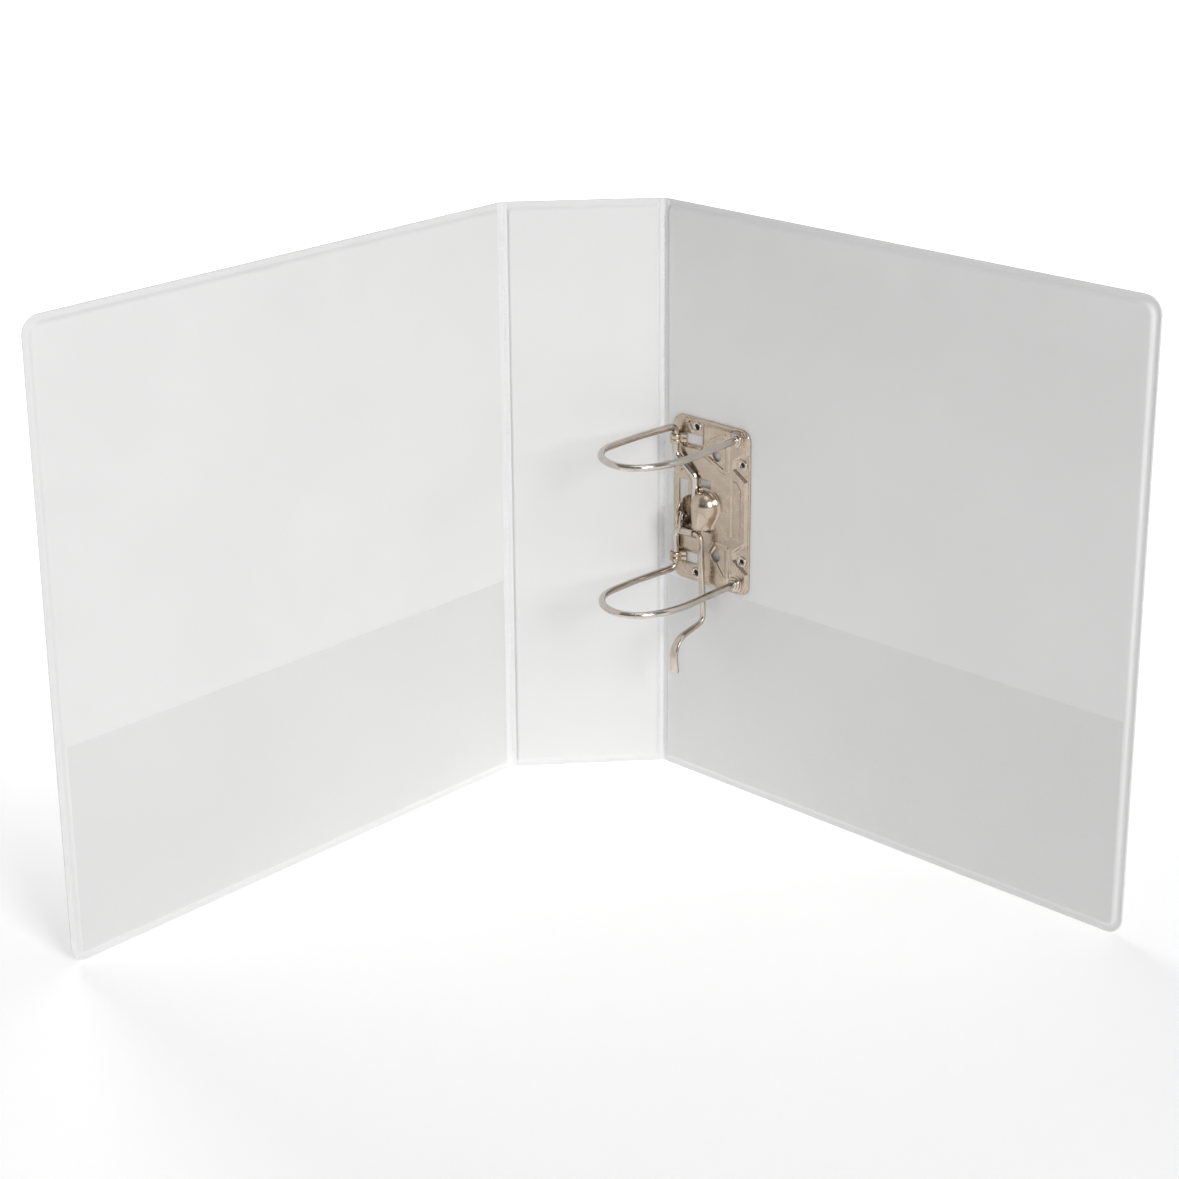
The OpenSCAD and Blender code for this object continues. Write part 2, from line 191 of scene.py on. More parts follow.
def closed_sheet(top, bottom):
    """A solid between two lattices, each rows by columns by 3."""
    rows, columns = top.shape[:2]
    count = rows * columns
    points = np.concatenate([top.reshape(-1, 3), bottom.reshape(-1, 3)])
    faces = grid_faces(rows, columns)
    rim = grid_rim(rows, columns)
    faces += turned(faces, count)
    faces += [(b, a, a + count, b + count) for a, b in zip(rim, rim[1:] + rim[:1])]
    return points, faces


def lathe(profile, segments=48):
    """A closed (radius, height) profile turned about Z, listed counterclockwise."""
    count = len(profile)
    angles = np.arange(segments) * 2 * math.pi / segments
    points = [(r * math.cos(a), r * math.sin(a), z) for a in angles for r, z in profile]
    faces = []
    for i in range(segments):
        for k in range(count):
            a = i * count + k
            b = i * count + (k + 1) % count
            c = ((i + 1) % segments) * count + (k + 1) % count
            d = ((i + 1) % segments) * count + k
            faces.append((a, d, c, b))
    return points, faces


def extrude(outline, thickness, bevel=0.15):
    """A flat outline, listed counterclockwise, as a slab along +Z with eased edges."""
    outline = np.array(outline, float)
    ahead = np.roll(outline, -1, 0) - outline
    normal = np.stack([ahead[:, 1], -ahead[:, 0]], 1)
    normal /= np.linalg.norm(normal, axis=1)[:, None]
    normal = normal + np.roll(normal, 1, 0)
    normal /= np.linalg.norm(normal, axis=1)[:, None]
    inset = outline - bevel * normal
    levels = [(inset, 0), (outline, bevel), (outline, thickness - bevel), (inset, thickness)]
    points = [(x, y, z) for loop, z in levels for x, y in loop]
    count = len(outline)
    faces = [tuple(range(count - 1, -1, -1)), tuple(range(3 * count, 4 * count))]
    for level in range(3):
        for k in range(count):
            a = level * count + k
            b = level * count + (k + 1) % count
            faces.append((a, b, b + count, a + count))
    return points, faces


def arc(centre, radius, start, end, count):
    """Points on an arc, angles in degrees."""
    angles = np.radians(np.linspace(start, end, count))
    return [(centre[0] + radius * math.cos(a), centre[1] + radius * math.sin(a)) for a in angles]


# ------------------------------------------------------------------- materials


def new_material(name):
    material = bpy.data.materials.new(name)
    material.use_nodes = True
    nodes = material.node_tree.nodes
    return material, nodes, material.node_tree.links, nodes["Principled BSDF"]


def noise_node(nodes, links, scale, detail=3.0, stretch=None):
    """A noise texture in object space, which is the row frame in metres."""
    coordinates = nodes.new("ShaderNodeTexCoord")
    texture = nodes.new("ShaderNodeTexNoise")
    texture.inputs["Scale"].default_value = scale
    texture.inputs["Detail"].default_value = detail
    source = coordinates.outputs["Object"]
    if stretch:
        mapping = nodes.new("ShaderNodeMapping")
        mapping.inputs["Scale"].default_value = stretch
        links.new(source, mapping.inputs["Vector"])
        source = mapping.outputs["Vector"]
    links.new(source, texture.inputs["Vector"])
    return texture


def ramp_between(nodes, links, texture, low, high, start=0.35, end=0.65):
    """The texture's value turned into a colour between low and high."""
    ramp = nodes.new("ShaderNodeValToRGB")
    ramp.color_ramp.elements[0].position = start
    ramp.color_ramp.elements[1].position = end
    ramp.color_ramp.elements[0].color = (*low, 1)
    ramp.color_ramp.elements[1].color = (*high, 1)
    links.new(texture.outputs["Fac"], ramp.inputs["Fac"])
    return ramp.outputs["Color"]


def spread(nodes, links, texture, low, high):
    """The texture's value mapped to a range of numbers."""
    mapped = nodes.new("ShaderNodeMapRange")
    mapped.inputs["From Min"].default_value = 0.3
    mapped.inputs["From Max"].default_value = 0.7
    mapped.inputs["To Min"].default_value = low
    mapped.inputs["To Max"].default_value = high
    links.new(texture.outputs["Fac"], mapped.inputs["Value"])
    return mapped.outputs["Result"]


def bump(nodes, links, shader, textures, strength, distance):
    """Bumps from several textures, one on top of another."""
    last = None
    for texture, share in textures:
        node = nodes.new("ShaderNodeBump")
        node.inputs["Strength"].default_value = strength * share
        node.inputs["Distance"].default_value = distance
        links.new(texture.outputs["Fac"], node.inputs["Height"])
        if last:
            links.new(last.outputs["Normal"], node.inputs["Normal"])
        last = node
    links.new(last.outputs["Normal"], shader.inputs["Normal"])


def vinyl_material(name, colour, roughness, grain):
    """Calendered PVC: a fine grain, a slow drift of tone and a soft sheen."""
    material, nodes, links, shader = new_material(name)
    drift = noise_node(nodes, links, 14, 2)
    fine = noise_node(nodes, links, 2600, 2)
    pores = noise_node(nodes, links, 700, 3)
    darker = tuple(0.975 * c for c in colour)
    links.new(ramp_between(nodes, links, drift, darker, colour), shader.inputs["Base Color"])
    rough = spread(nodes, links, pores, roughness - 0.06, roughness + 0.08)
    links.new(rough, shader.inputs["Roughness"])
    shader.inputs["IOR"].default_value = 1.53
    shader.inputs["Subsurface Weight"].default_value = 0.08
    shader.inputs["Subsurface Radius"].default_value = (0.0012, 0.0011, 0.001)
    shader.inputs["Subsurface Scale"].default_value = 1.0
    bump(nodes, links, shader, [(fine, grain), (pores, 0.5 * grain)], 0.35, 0.00006)
    return material


def film_material(name, colour, alpha, roughness):
    """Clear film: mostly see-through, with its own sheen and faint smears."""
    material, nodes, links, shader = new_material(name)
    smear = noise_node(nodes, links, 30, 4, (1, 1, 0.35))
    darker = tuple(0.97 * c for c in colour)
    links.new(ramp_between(nodes, links, smear, darker, colour), shader.inputs["Base Color"])
    rough = spread(nodes, links, smear, roughness, roughness + 0.1)
    links.new(rough, shader.inputs["Roughness"])
    shader.inputs["Alpha"].default_value = alpha
    shader.inputs["IOR"].default_value = 1.5
    shader.inputs["Coat Weight"].default_value = 0.6
    shader.inputs["Coat Roughness"].default_value = 0.08
    waves = noise_node(nodes, links, 55, 2)
    bump(nodes, links, shader, [(waves, 1.0)], 0.06, 0.0004)
    return material


def board_material(name, colour):
    """Grey binder board: pressed fibres."""
    material, nodes, links, shader = new_material(name)
    fibres = noise_node(nodes, links, 900, 6, (1, 1, 0.4))
    darker = tuple(0.8 * c for c in colour)
    links.new(ramp_between(nodes, links, fibres, darker, colour), shader.inputs["Base Color"])
    shader.inputs["Roughness"].default_value = 0.9
    bump(nodes, links, shader, [(fibres, 1.0)], 0.5, 0.0002)
    return material


def card_material(name, colour):
    """Smooth card: faint fibres and a matt face."""
    material, nodes, links, shader = new_material(name)
    fibres = noise_node(nodes, links, 1500, 5, (1, 1, 0.5))
    darker = tuple(0.96 * c for c in colour)
    links.new(ramp_between(nodes, links, fibres, darker, colour), shader.inputs["Base Color"])
    shader.inputs["Roughness"].default_value = 0.75
    bump(nodes, links, shader, [(fibres, 1.0)], 0.25, 0.00008)
    return material


def nickel_material(name, colour, roughness, mottle):
    """Nickel plate: warm metal with a mottled sheen and fine handling scratches."""
    material, nodes, links, shader = new_material(name)
    clouds = noise_node(nodes, links, 160, 3)
    scratches = noise_node(nodes, links, 2200, 2, (1, 1, 0.06))
    skin = noise_node(nodes, links, 900, 3)
    darker = tuple(0.86 * c for c in colour)
    links.new(ramp_between(nodes, links, clouds, darker, colour), shader.inputs["Base Color"])
    shader.inputs["Metallic"].default_value = 1.0
    rough = spread(nodes, links, clouds, roughness - mottle, roughness + mottle)
    links.new(rough, shader.inputs["Roughness"])
    bump(nodes, links, shader, [(scratches, 0.5), (skin, 0.6)], 0.25, 0.00005)
    return material


WHITE = (0.795, 0.795, 0.79)
INNER_VINYL = vinyl_material("inner_vinyl", WHITE, 0.42, 0.6)
OUTER_VINYL = vinyl_material("outer_vinyl", WHITE, 0.5, 1.0)
HINGE_VINYL = vinyl_material("hinge_vinyl", (0.82, 0.82, 0.83), 0.38, 0.4)
POCKET_FILM = film_material("pocket_film", (0.62, 0.62, 0.62), 0.045, 0.3)
OVERLAY_FILM = film_material("overlay_film", (0.79, 0.79, 0.79), 0.08, 0.16)
BOARD = board_material("binder_board", (0.45, 0.42, 0.38))
CARD = card_material("label_card", (0.86, 0.86, 0.85))
PLATE_NICKEL = nickel_material("pressed_nickel", (0.6, 0.5, 0.405), 0.25, 0.05)
WIRE_NICKEL = nickel_material("wire_nickel", (0.64, 0.585, 0.53), 0.14, 0.04)
RIVET_NICKEL = nickel_material("rivet_nickel", (0.62, 0.56, 0.49), 0.2, 0.05)
LEVER_NICKEL = nickel_material("lever_nickel", (0.62, 0.55, 0.475), 0.2, 0.05)
# Near-black metal for plugs down the rivet bores: painted shade for the dark inside of each hollow rivet.
PAINTED_BORE_SHADE = nickel_material("painted_bore_shade", (0.045, 0.04, 0.035), 0.5, 0.1)


# -------------------------------------------------------------- covers, spine

# Distance in from a panel's edge, as a share of the rim, and height there
BOARD_SHARE = 0.83
RIM_WIDTH = (COVER_W - board_high[0]) / BOARD_SHARE
RIM_PROFILE = [
    (0.0, 0.10), (0.03, 0.34), (0.07, 0.48), (0.12, 0.52), (0.17, 0.48), (0.22, 0.37),
    (0.28, 0.31), (0.40, 0.29), (0.52, 0.31), (0.58, 0.38), (0.64, 0.60), (0.70, 0.90),
    (0.76, 1.17), (0.82, 1.34), (0.88, 1.44), (0.94, 1.49), (1.0, 1.50),
]
SKIN = 0.3
CORNER_R = 9


def rounded_outline(low, high, r_left, r_right, n_x, n_y, n_c):
    """A rounded rectangle from the middle of its lower left corner, counterclockwise."""

    def corner(x, y, r, start):
        return arc((x, y), r, start, start + 90, n_c + 1)

    (x0, y0), (x1, y1) = low, high
    loop = corner(x0 + r_left, y0 + r_left, r_left, 180)[n_c // 2 :]
    loop += [(x, y0) for x in np.linspace(x0 + r_left, x1 - r_right, n_x + 1)[1:-1]]
    loop += corner(x1 - r_right, y0 + r_right, r_right, -90)
    loop += [(x1, y) for y in np.linspace(y0 + r_right, y1 - r_right, n_y + 1)[1:-1]]
    loop += corner(x1 - r_right, y1 - r_right, r_right, 0)
    loop += [(x, y1) for x in np.linspace(x1 - r_right, x0 + r_left, n_x + 1)[1:-1]]
    loop += corner(x0 + r_left, y1 - r_left, r_left, 90)
    loop += [(x0, y) for y in np.linspace(y1 - r_left, y0 + r_left, n_y + 1)[1:-1]]
    loop += corner(x0 + r_left, y0 + r_left, r_left, 180)[: n_c // 2]
    return np.array(loop)


def filled_lattice(loop, n_x, n_y, n_c):
    """A lattice inside an outline, blended from its four sides."""
    across, up = n_x + n_c, n_y + n_c
    bottom = loop[: across + 1]
    right = loop[across : across + up + 1]
    top = loop[across + up : 2 * across + up + 1][::-1]
    left = np.concatenate([loop[2 * across + up :], loop[:1]])[::-1]
    a = (bottom[:, 0] - bottom[0, 0]) / (bottom[-1, 0] - bottom[0, 0])
    b = (right[:, 1] - right[0, 1]) / (right[-1, 1] - right[0, 1])
    a, b = a[None, :, None], b[:, None, None]
    sides = (1 - b) * bottom[None] + b * top[None]
    sides = sides + (1 - a) * left[:, None] + a * right[:, None]
    corners = (1 - a) * (1 - b) * bottom[0] + a * (1 - b) * bottom[-1]
    return sides - corners - (1 - a) * b * top[0] - a * b * top[-1]


def panel(outer, inner, radii, height, cells=(72, 80, 8)):
    """A welded skin between two outlines and over the panel inside them.

    outer and inner are (low, high) corners, radii their corner radii as
    ((left, right), (left, right)), and height is added to the panel's face.
    """
    n_x, n_y, n_c = cells
    edge = rounded_outline(*outer, *radii[0], *cells)
    inside = rounded_outline(*inner, *radii[1], *cells)
    lattice = filled_lattice(inside, n_x, n_y, n_c)
    rows, columns = lattice.shape[:2]
    flat = lattice.reshape(-1, 2)
    top = RIM_PROFILE[-1][1] + height(flat)
    points = [np.column_stack([flat, top])]
    faces = grid_faces(rows, columns)
    before = grid_rim(rows, columns)
    lift = height(inside)
    total = rows * columns
    for share, level in RIM_PROFILE[-2::-1]:
        spot = edge + share * (inside - edge)
        here = level + lift * smooth((share - 0.5) / 0.5)
        points.append(np.column_stack([spot, here]))
        loop = [total + k for k in range(len(edge))]
        faces += zip(loop, loop[1:] + loop[:1], before[1:] + before[:1], before)
        before = loop
        total += len(loop)
    top = np.concatenate(points)
    bottom = top.copy()
    bottom[:, 2] = np.maximum(top[:, 2] - SKIN, 0.0)
    bottom[-len(edge) :, 2] = 0.0
    faces += turned(faces, total)
    faces += [(b, a, a + total, b + total) for a, b in zip(before, before[1:] + before[:1])]
    return np.concatenate([top, bottom]), faces


def ripples(seed, slack_hinge, slack_top, calm=0.10):
    """Slack in the vinyl: slow waves, stronger near the hinge and the top edge."""

    def wave(x, y, across, up, offset):
        return 0.5 + 0.7 * noise.noise(Vector((x / across, y / up, seed + offset)))

    def height(flat):
        out = np.zeros(len(flat))
        for i, (x, y) in enumerate(flat):
            near = math.exp(-abs(x - HINGE_GAP) / 26) * slack_hinge
            high = math.exp(-(FILE_H - y) / 34) * slack_top
            lift = calm * wave(x, y, 62, 80, 0)
            lift += near * wave(x, y, 15, 60, 7) + high * wave(x, y, 24, 30, 13)
            out[i] = max(lift, 0.02)
        away = np.hypot(
            np.maximum(np.abs(flat[:, 0] - PLATE_MID[0]) - PLATE_HALF[0], 0),
            np.maximum(np.abs(flat[:, 1] - MID) - PLATE_HALF[1], 0),
        )
        return out * (0.05 + 0.95 * smooth(away / 18))

    return height


def cover_skin(name, place, material, slot, side, height, body, node):
    """The vinyl on one side of a cover: the inner face's side is 1, the outer -1."""
    rim = (board_low[0] - HINGE_GAP) / BOARD_SHARE
    outer = ((HINGE_GAP, 0), (COVER_W, FILE_H))
    inner = ((HINGE_GAP + rim, RIM_WIDTH), (COVER_W - RIM_WIDTH, FILE_H - RIM_WIDTH))
    radii = ((0.6, CORNER_R), (1.5, CORNER_R - RIM_WIDTH + 1.2))
    points, faces = panel(outer, inner, radii, height)
    shape = Shape().add(*mirrored(points, faces, side))
    stand_in(node, body, name, shape, place, material, slot)


def spine_skin(name, material, slot, side, height, node):
    """The vinyl on one side of the spine."""
    rim = (SPINE_HALF - SPINE_BOARD_HALF) / BOARD_SHARE
    outer = ((-SPINE_HALF, 0), (SPINE_HALF, FILE_H))
    inner = ((rim - SPINE_HALF, RIM_WIDTH), (SPINE_HALF - rim, FILE_H - RIM_WIDTH))
    points, faces = panel(outer, inner, ((0.4, 0.4), (1.2, 1.2)), height, cells=(30, 80, 8))
    shape = Shape().add(*mirrored(points, faces, side))
    stand_in(node, "spine", name, shape, SPINE, material, slot)


def film_sheet(low, high, skin, bulge, thickness=0.15, cells=(80, 80)):
    """A clear sheet over a rectangle, lying on a skin's ripples plus a bulge(x, y)."""
    across = np.linspace(low[0], high[0], cells[0])
    up = np.linspace(low[1], high[1], cells[1])
    x, y = np.meshgrid(across, up)
    under = skin(np.stack([x.ravel(), y.ravel()], 1)).reshape(x.shape)
    z = FACE + under + bulge(x, y)
    top = np.stack([x, y, z + thickness], -1)
    bottom = np.stack([x, y, z], -1)
    return closed_sheet(top, bottom)


def edge_room(x, y, low, high):
    """0 on the three welded edges, rising to 1 over 12 mm; the top is open."""
    room = np.minimum(x - low[0], high[0] - x)
    return smooth(np.minimum(room, y - low[1]) / 12)


def pocket(name, place, skin, body, node):
    """Clear pocket inside a cover: welded on three sides, slack at its open top."""
    low, high = local_box(node, place)

    def bulge(x, y):
        room = edge_room(x, y, low, high)
        wave = 0.55 + 0.25 * np.sin(x / 31) + 0.2 * np.sin(x / 13 + y / 40)
        return 0.1 + room * (0.12 + 0.5 * smooth((y - low[1] - 40) / 65) * wave)

    shape = Shape().add(*film_sheet(low[:2], high[:2], skin, bulge))
    stand_in(node, body, name, shape, place, POCKET_FILM, "pocket_film")


def overlay(name, place, skin, body, node, seed):
    """Clear pocket outside a cover, a little slack, with puckers near its edges."""
    low, high = local_box(node, place)

    def bulge(x, y):
        room = edge_room(x, y, low, high)
        puckers = np.sin(y / 17 + seed) * np.exp(-(high[0] - x) / 20)
        wave = 0.6 + 0.25 * np.sin(x / 47 + seed) * np.sin(y / 61) + 0.25 * puckers
        return 0.12 + room * wave * 1.1

    sheet = film_sheet(low[:2], high[:2], skin, bulge)
    shape = Shape().add(*mirrored(*sheet, -1))
    stand_in(node, body, name, shape, place, OVERLAY_FILM, "overlay_film")


# ---------------------------------------------------------------------- hinges

STRIP_T = 0.45
BEND_HALF = 0.9
DASH_PITCH = 1.8
DASH_DEPTH = 0.22
DASH_MARGIN = 8


def hinge_strip(name, side, angle, node):
    """Welded vinyl between the spine and a cover, pressed with a row of dashes."""
    across = [-3, -2.85, -2.6, -2.2, -1.6, -1.0, -0.8, -0.3]
    across = np.array(across + [0.2, 0.4, 1.0, 1.6, 2.2, 2.6, 2.85, 3])
    levels = np.interp(np.abs(across), [0, 1.8, 2.3, 2.7, 3], [0.58, 0.58, 0.62, 0.56, 0.31])
    pressed = np.interp(across, [-1.0, -0.8, 0.2, 0.4], [0, 1, 1, 0])
    up = np.linspace(0.3, FILE_H - 0.3, 1060)
    wave = 0.5 + 0.5 * np.sin(2 * math.pi * up / DASH_PITCH)
    dash = smooth((wave - 0.35) / 0.3)
    ends = smooth((up - DASH_MARGIN) / 2) * smooth((FILE_H - DASH_MARGIN - up) / 2)

    def lay(s, n):
        """A point at s across the strip and n above its middle, round the bend."""
        turn = angle * np.clip((s + BEND_HALF) / (2 * BEND_HALF), 0, 1)
        radius = 2 * BEND_HALF / angle
        past = np.maximum(s - BEND_HALF, 0)
        x = np.minimum(s, -BEND_HALF) + radius * np.sin(turn) + past * math.cos(angle)
        z = radius * (1 - np.cos(turn)) + past * math.sin(angle)
        return x - n * np.sin(turn), z + n * np.cos(turn)

    top_n = levels[None] - DASH_DEPTH * pressed[None] * (dash * ends)[:, None]
    s = np.broadcast_to(across, top_n.shape)
    rows = []
    for n in (top_n, np.full_like(top_n, -STRIP_T)):
        x, z = lay(s, n)
        y = np.broadcast_to(up[:, None], x.shape)
        rows.append(np.stack([HALF_PITCH + x, y, z], -1))
    shape = Shape().add(*mirrored(*closed_sheet(*rows), side, axis=0))
    piece = make_piece(name, shape, SPINE, HINGE_VINYL, "hinge_vinyl", sharp=60)
    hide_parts(node)
    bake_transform(piece)


# ------------------------------------------------------------------ bent wires


def bend_path(bends, start, turn_step=5, run=100):
    """Sections along a bar: feed, roll, then bend. A section is (centre, forward, side).

    side is carried along without twist, so a ring of points keeps its place. A
    straight feed is cut into runs of at most that length.
    """
    centre, forward, towards = (Vector(v) for v in start)
    hold = towards.copy()
    path = [(centre.copy(), forward.copy(), hold.copy())]
    for feed, roll, radius, turn in bends:
        runs = max(1, math.ceil(feed / run)) if feed > 0 else 0
        for _ in range(runs):
            centre = centre + feed / runs * forward
            path.append((centre.copy(), forward.copy(), hold.copy()))
        towards = Matrix.Rotation(math.radians(roll), 3, forward) @ towards
        axis = forward.cross(towards)
        hub = centre + radius * towards
        steps = max(2, math.ceil(turn / turn_step))
        step = Matrix.Rotation(math.radians(turn / steps), 3, axis)
        for _ in range(steps):
            centre = hub + step @ (centre - hub)
            forward = step @ forward
            towards = step @ towards
            hold = step @ hold
            path.append((centre.copy(), forward.copy(), hold.copy()))
    return path


def sweep(path, section, sides=24):
    """A closed bar: section(i, angle) gives the point's offset along side and across."""
    points = []
    for i, (centre, forward, side) in enumerate(path):
        across = forward.cross(side)
        for k in range(sides):
            a, b = section(i, 2 * math.pi * k / sides)
            points.append(centre + a * side + b * across)
    faces = [tuple(range(sides - 1, -1, -1))]
    last = sides * (len(path) - 1)
    faces.append(tuple(last + k for k in range(sides)))
    for i in range(len(path) - 1):
        for k in range(sides):
            a, b = i * sides + k, i * sides + (k + 1) % sides
            faces.append((a, b, b + sides, a + sides))
    return points, faces


def eased_ends(path, length):
    """The path with an extra section just inside each end, so the ends can round off."""
    first, last = path[0], path[-1]
    head = (first[0] + length * first[1], first[1], first[2])
    tail = (last[0] - length * last[1], last[1], last[2])
    return [first, head, *path[1:-1], tail, last]


def walk(bends, spot, heading):
    """Where a flat chain of bends ends: x, y and heading in degrees."""
    x, y = spot
    for feed, _, radius, turn in bends:
        x += feed * math.cos(math.radians(heading))
        y += feed * math.sin(math.radians(heading))
        after = heading + turn
        x += radius * (math.sin(math.radians(after)) - math.sin(math.radians(heading)))
        y += radius * (math.cos(math.radians(heading)) - math.cos(math.radians(after)))
        heading = after
    return x, y, heading


def on_plate(point):
    """A row-frame point, in metres, as a point in the plate's frame."""
    return PLATE.inverted() @ Vector(point)


POST = on_plate(MOUNTS["upper_ring_post"]["pos_m"])
WIRE_R = MOUNTS["upper_ring_post"]["dims"]["r_mm"]
POST_LEN = MOUNTS["upper_ring_post"]["dims"]["length_mm"]
PLATE_RISE = POST.z
RING_V = POST.y
FLOOR = PLATE_RISE - 1.2
POST_ROOT = PLATE_RISE - 1
KNUCKLE = on_plate(JOINTS["arch_swing"]["pos_m"])
SEAM_R = 16
SEAM_TURN = 20.5
SEAM_GAP = 0.2
GAP_TURN = math.degrees(SEAM_GAP / SEAM_R)
POST_BENDS = [[POST_LEN + 1, 0, 50, 31.5], [0, 0, SEAM_R, SEAM_TURN - GAP_TURN]]
ARCH_BENDS = [[0, 0, SEAM_R, 33], [0, 0, 21.3, 95], [6.2, 0, 170, 8]]
KNUCKLE_BEND = 4
CRANK_REACH = 12.3
CRANK_N = 3.2
CRANK_TURN = 50
CRANK_BEND = 5
BACK_BEND = 3.5
CRANK_TOP = 27
CRANK_FOOT = 18


def ring_start(x, n, heading):
    """Start of a bar in the plane of the upper ring: centre, forward and side."""
    angle = math.radians(heading)
    forward = (math.cos(angle), 0, math.sin(angle))
    side = (-math.sin(angle), 0, math.cos(angle))
    return (x, RING_V, n), forward, side


def wire_shape(path):
    """Ring wire along a path, its ends eased over a hair."""
    path = eased_ends(path, 0.12)

    def section(i, angle):
        r = WIRE_R - (0.14 if i in (0, len(path) - 1) else 0)
        return r * math.cos(angle), r * math.sin(angle)

    return sweep(path, section)


def ring_posts():
    """The two posts, straight out of the plate and then bent up to the seam."""
    path = bend_path(POST_BENDS, ring_start(POST.x, POST_ROOT, 90))
    wire = wire_shape(path)
    for name, end in (("upper_post", 1), ("lower_post", -1)):
        shape = Shape().add(*mirrored(*wire, end, axis=1))
        stand_in(name, "back_cover", name + "_wire", shape, PLATE, WIRE_NICKEL, "wire_nickel")


def arch_wire():
    """Both arches and the crank between them, as one bent wire."""
    post_end = walk(POST_BENDS, (POST.x, POST_ROOT), 90)
    seam = walk([[0, 0, SEAM_R, GAP_TURN]], post_end[:2], post_end[2])
    end = walk(ARCH_BENDS, seam[:2], seam[2])
    drop = (end[1] - KNUCKLE.z) / -math.sin(math.radians(end[2]))
    tilt = math.degrees(math.asin((CRANK_N - KNUCKLE.z) / CRANK_REACH))
    turn = math.radians(CRANK_TURN)
    slant = (CRANK_REACH - 2 * CRANK_BEND * (1 - math.cos(turn))) / math.sin(turn)
    slant_drop = 2 * CRANK_BEND * math.sin(turn) + slant * math.cos(turn)
    knuckle_v = RING_V - KNUCKLE_BEND
    bends = ARCH_BENDS + [
        [drop - KNUCKLE_BEND, 90, KNUCKLE_BEND, 90],
        [knuckle_v - CRANK_TOP, tilt - end[2] + 180, CRANK_BEND, CRANK_TURN],
        [slant, 180, CRANK_BEND, CRANK_TURN],
        [CRANK_TOP - slant_drop + CRANK_FOOT - BACK_BEND, 0, BACK_BEND, 90],
        [CRANK_REACH - 2 * BACK_BEND, 180, BACK_BEND, 90],
        [knuckle_v - CRANK_FOOT - BACK_BEND, end[2] - 180 - tilt, KNUCKLE_BEND, 90],
        [drop - KNUCKLE_BEND, -90, *ARCH_BENDS[2][2:]],
        [ARCH_BENDS[2][0], 0, *ARCH_BENDS[1][2:]],
        [0, 0, *ARCH_BENDS[0][2:]],
    ]
    shape = Shape().add(*wire_shape(bend_path(bends, ring_start(*seam))))
    stand_in("arch_wire", "arch", "arch_wire_bent", shape, PLATE, WIRE_NICKEL, "wire_nickel")


# ------------------------------------------------------------------ base plate

PLATE_MID = (34.25, 0)
PLATE_HALF = (25.75, 46)
PLATE_CORNER = 6
SHEET_T = 1.0
DOME_T = 0.8
DOME = (31.8, -1.0)
DOME_R = 8.6
TAIL_U = 29.5
TAIL_R = 6.5
TAIL_END = -13.0
DOME_MOUTH = KNUCKLE.x + CRANK_REACH + WIRE_R + 0.3
STEP_MM = 0.3
CRANK_U = KNUCKLE.x + CRANK_REACH * math.cos(math.asin((CRANK_N - KNUCKLE.z) / CRANK_REACH))

# The raised middle of the plate, counterclockwise from its lower left corner
PLATEAU = [
    (32.0, -44.6), (58.4, -44.4), (58.4, -35.0), (49.4, -29.0), (49.4, -23.2),
    (57.8, -16.4), (57.8, 18.4), (49.2, 24.2), (49.2, 30.4), (58.4, 36.0), (58.4, 43.6),
    (30.6, 43.6), (30.6, 34.5), (28.6, 29.6), (11.2, 28.6), (11.2, 22.5), (21.5, 12.5),
    (21.5, -14.0), (12.0, -21.5), (12.0, -28.4), (27.6, -29.4), (32.0, -35.5),
]
UPPER_TRIANGLE = [(30.2, 27.0), (43.6, 19.8), (46.6, 21.2), (46.6, 36.4), (43.6, 36.4)]
LOWER_TRIANGLE = [(33.6, -25.6), (37.5, -20.0), (46.8, -20.6), (46.8, -39.6), (44.4, -40.4)]
PILL_PANEL = [(49.0, -15.2), (54.2, -15.2), (54.2, 13.6), (51.6, 17.2), (49.0, 17.2)]


def sd_polygon(u, v, points, round_by=0.0):
    """Signed distance to a polygon, negative inside, grown by round_by."""
    points = np.array(points, float)
    best = np.full(u.shape, 1e9)
    inside = np.zeros(u.shape, bool)
    for (ax, ay), (bx, by) in zip(points, np.roll(points, -1, 0)):
        ex, ey = bx - ax, by - ay
        t = np.clip(((u - ax) * ex + (v - ay) * ey) / (ex * ex + ey * ey), 0, 1)
        best = np.minimum(best, np.hypot(u - ax - t * ex, v - ay - t * ey))
        crosses = (ay > v) != (by > v)
        at = ax + (v - ay) * ex / (ey if ey else 1e-9)
        inside ^= crosses & (u < at)
    return np.where(inside, -best, best) - round_by


def sd_box(u, v, centre, half, r):
    """Signed distance to a rounded rectangle."""
    du = np.abs(u - centre[0]) - half[0] + r
    dv = np.abs(v - centre[1]) - half[1] + r
    outside = np.hypot(np.maximum(du, 0), np.maximum(dv, 0))
    return outside + np.minimum(np.maximum(du, dv), 0) - r


def sd_line(u, v, a, b, r):
    """Signed distance to a round-ended stroke."""
    ex, ey = b[0] - a[0], b[1] - a[1]
    t = np.clip(((u - a[0]) * ex + (v - a[1]) * ey) / (ex * ex + ey * ey), 0, 1)
    return np.hypot(u - a[0] - t * ex, v - a[1] - t * ey) - r


def within(distance, width):
    """1 inside a shape and 0 outside it, over a shoulder of that width."""
    return smooth(0.5 - distance / width)


def shrunk(polygon, by):
    """A polygon's points pulled towards its middle."""
    points = np.array(polygon, float)
    middle = points.mean(0)
    reach = np.linalg.norm(points - middle, axis=1)[:, None]
    return points + (middle - points) * by / reach


WINDOWS = [
    ("round", (38.4, 28.0), 2.7),
    ("round", (38.4, -28.0), 2.7),
    ("box", (21.9, 33.5), (6.0, 3.0)),
    ("box", (22.1, -33.5), (5.6, 3.0)),
    ("box", (15.2, -1.0), (3.0, 11.0)),
    ("box", (30.4, 10.9), (4.2, 2.3)),
    ("box", (31.4, -14.3), (3.8, 1.0)),
]
